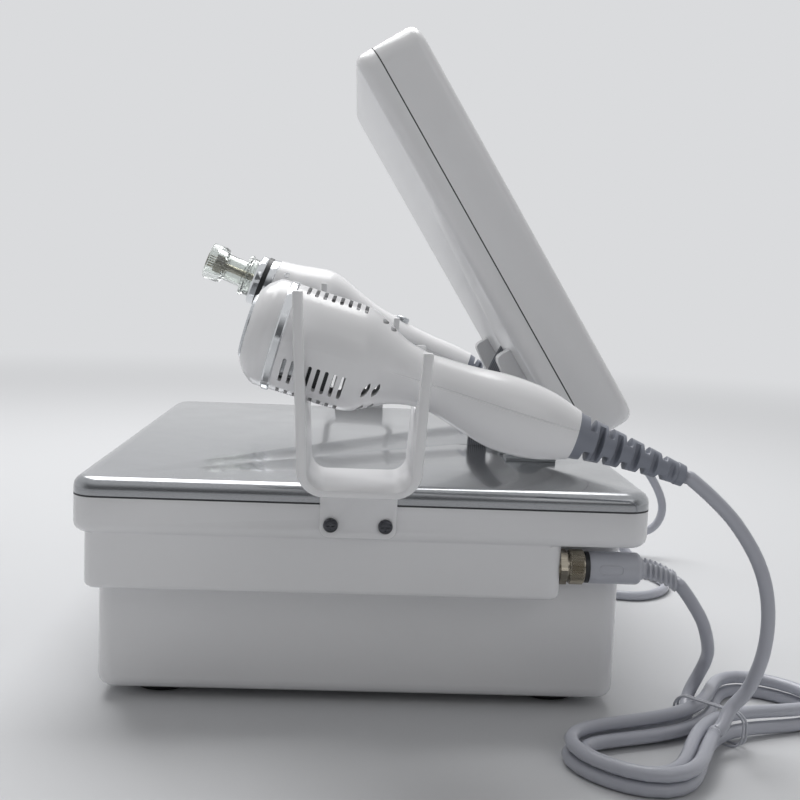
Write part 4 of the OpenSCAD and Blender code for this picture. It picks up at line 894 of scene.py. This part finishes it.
def stageFloor(f):
    # Matt pale floor that turns into the backdrop's own glow far from the object, so that no horizon shows
    m = bpy.data.materials.new("paleFloor")
    m.use_nodes = True
    t = m.node_tree
    t.nodes.clear()
    place = addNode(t, "ShaderNodeTexCoord")
    matt = addNode(t, "ShaderNodeBsdfDiffuse", values={"Color": linear("#D2D3D5")})
    glow = addNode(t, "ShaderNodeEmission", values={"Color": linear(sky["seen"][1]), "Strength": 1.0})
    far = addNode(t, "ShaderNodeVectorMath", {"operation": "LENGTH"}, links={0: place.outputs["Object"]})
    fade = addNode(t, "ShaderNodeMapRange", {"interpolation_type": "SMOOTHSTEP"}, links={
        "Value": far.outputs["Value"]}, values={"From Min": f["near"], "From Max": f["far"]})
    mix = addNode(t, "ShaderNodeMixShader", links={
        0: fade.outputs["Result"], 1: matt.outputs[0], 2: glow.outputs[0]})
    addNode(t, "ShaderNodeOutputMaterial", links={"Surface": mix.outputs[0]})
    turns = [2 * math.pi * k / f["sides"] for k in range(f["sides"])]
    ring = [(f["radius"] * math.cos(a), f["radius"] * math.sin(a), 0) for a in turns]
    floor = newObject("floor", ring, [tuple(range(f["sides"]))], m, smooth=False)


def softWorld(w):
    # A pale studio, darker on the side where the camera stands; the camera itself sees the pale backdrop
    world = bpy.data.worlds.new("softWorld")
    world.use_nodes = True
    t = world.node_tree
    t.nodes.clear()
    place = addNode(t, "ShaderNodeTexCoord")
    axes = addNode(t, "ShaderNodeSeparateXYZ", links={"Vector": place.outputs["Generated"]})
    level, lift = (addNode(t, "ShaderNodeMapRange", {"interpolation_type": "SMOOTHSTEP"}, links={
        "Value": axes.outputs[axis]}, values={"From Min": w[key][0], "From Max": w[key][1]})
        for axis, key in (("X", "turn"), ("Z", "climb")))
    side = addNode(t, "ShaderNodeMath", {"operation": "MAXIMUM"}, links={
        0: level.outputs["Result"], 1: lift.outputs["Result"]})
    power = addNode(t, "ShaderNodeMapRange", links={"Value": side.outputs[0]}, values={
        "To Min": w["lit"][0], "To Max": w["lit"][1]})
    path = addNode(t, "ShaderNodeLightPath")
    mirror = addNode(t, "ShaderNodeMath", {"operation": "MAXIMUM"}, links={
        0: path.outputs["Is Glossy Ray"], 1: path.outputs["Is Transmission Ray"]})
    lit = addNode(t, "ShaderNodeBackground", values={"Color": linear("#FFFFFF")}, links={
        "Strength": power.outputs["Result"]})
    shine = addNode(t, "ShaderNodeBackground", values={"Strength": 1.0})
    mixColours(t, side.outputs[0], w["seen"][0], w["seen"][1], shine.inputs["Color"])
    back = addNode(t, "ShaderNodeBackground", values={"Color": linear(w["seen"][1]), "Strength": 1.0})
    first = addNode(t, "ShaderNodeMixShader", links={
        0: mirror.outputs[0], 1: lit.outputs[0], 2: shine.outputs[0]})
    mix = addNode(t, "ShaderNodeMixShader", links={0: path.outputs["Is Camera Ray"], 1: first.outputs[0],
                                                   2: back.outputs[0]})
    addNode(t, "ShaderNodeOutputWorld", links={"Surface": mix.outputs[0]})
    scene.world = world


lamps = {"topLight": {"place": (0.75, 0.2, 1.7), "aim": (0, 0, 0.1), "size": 1.5, "watts": 34},
         "sideFill": {"place": (-1.7, -0.9, 1.2), "aim": (0, 0, 0.15), "size": 1.1, "watts": 3}}


def softbox(name, place, aim, size, watts):
    data = bpy.data.lights.new(name, "AREA")
    data.shape, data.size, data.energy = "SQUARE", size, watts
    lamp = bpy.data.objects.new(name, data)
    scene.collection.objects.link(lamp)
    lamp.location = place
    lamp.rotation_euler = (Vector(aim) - Vector(place)).to_track_quat("-Z", "Y").to_euler()


stageFloor(floorDisc)
softWorld(sky)
for name, lamp in lamps.items():
    softbox(name, **lamp)
print("stage and lights made")
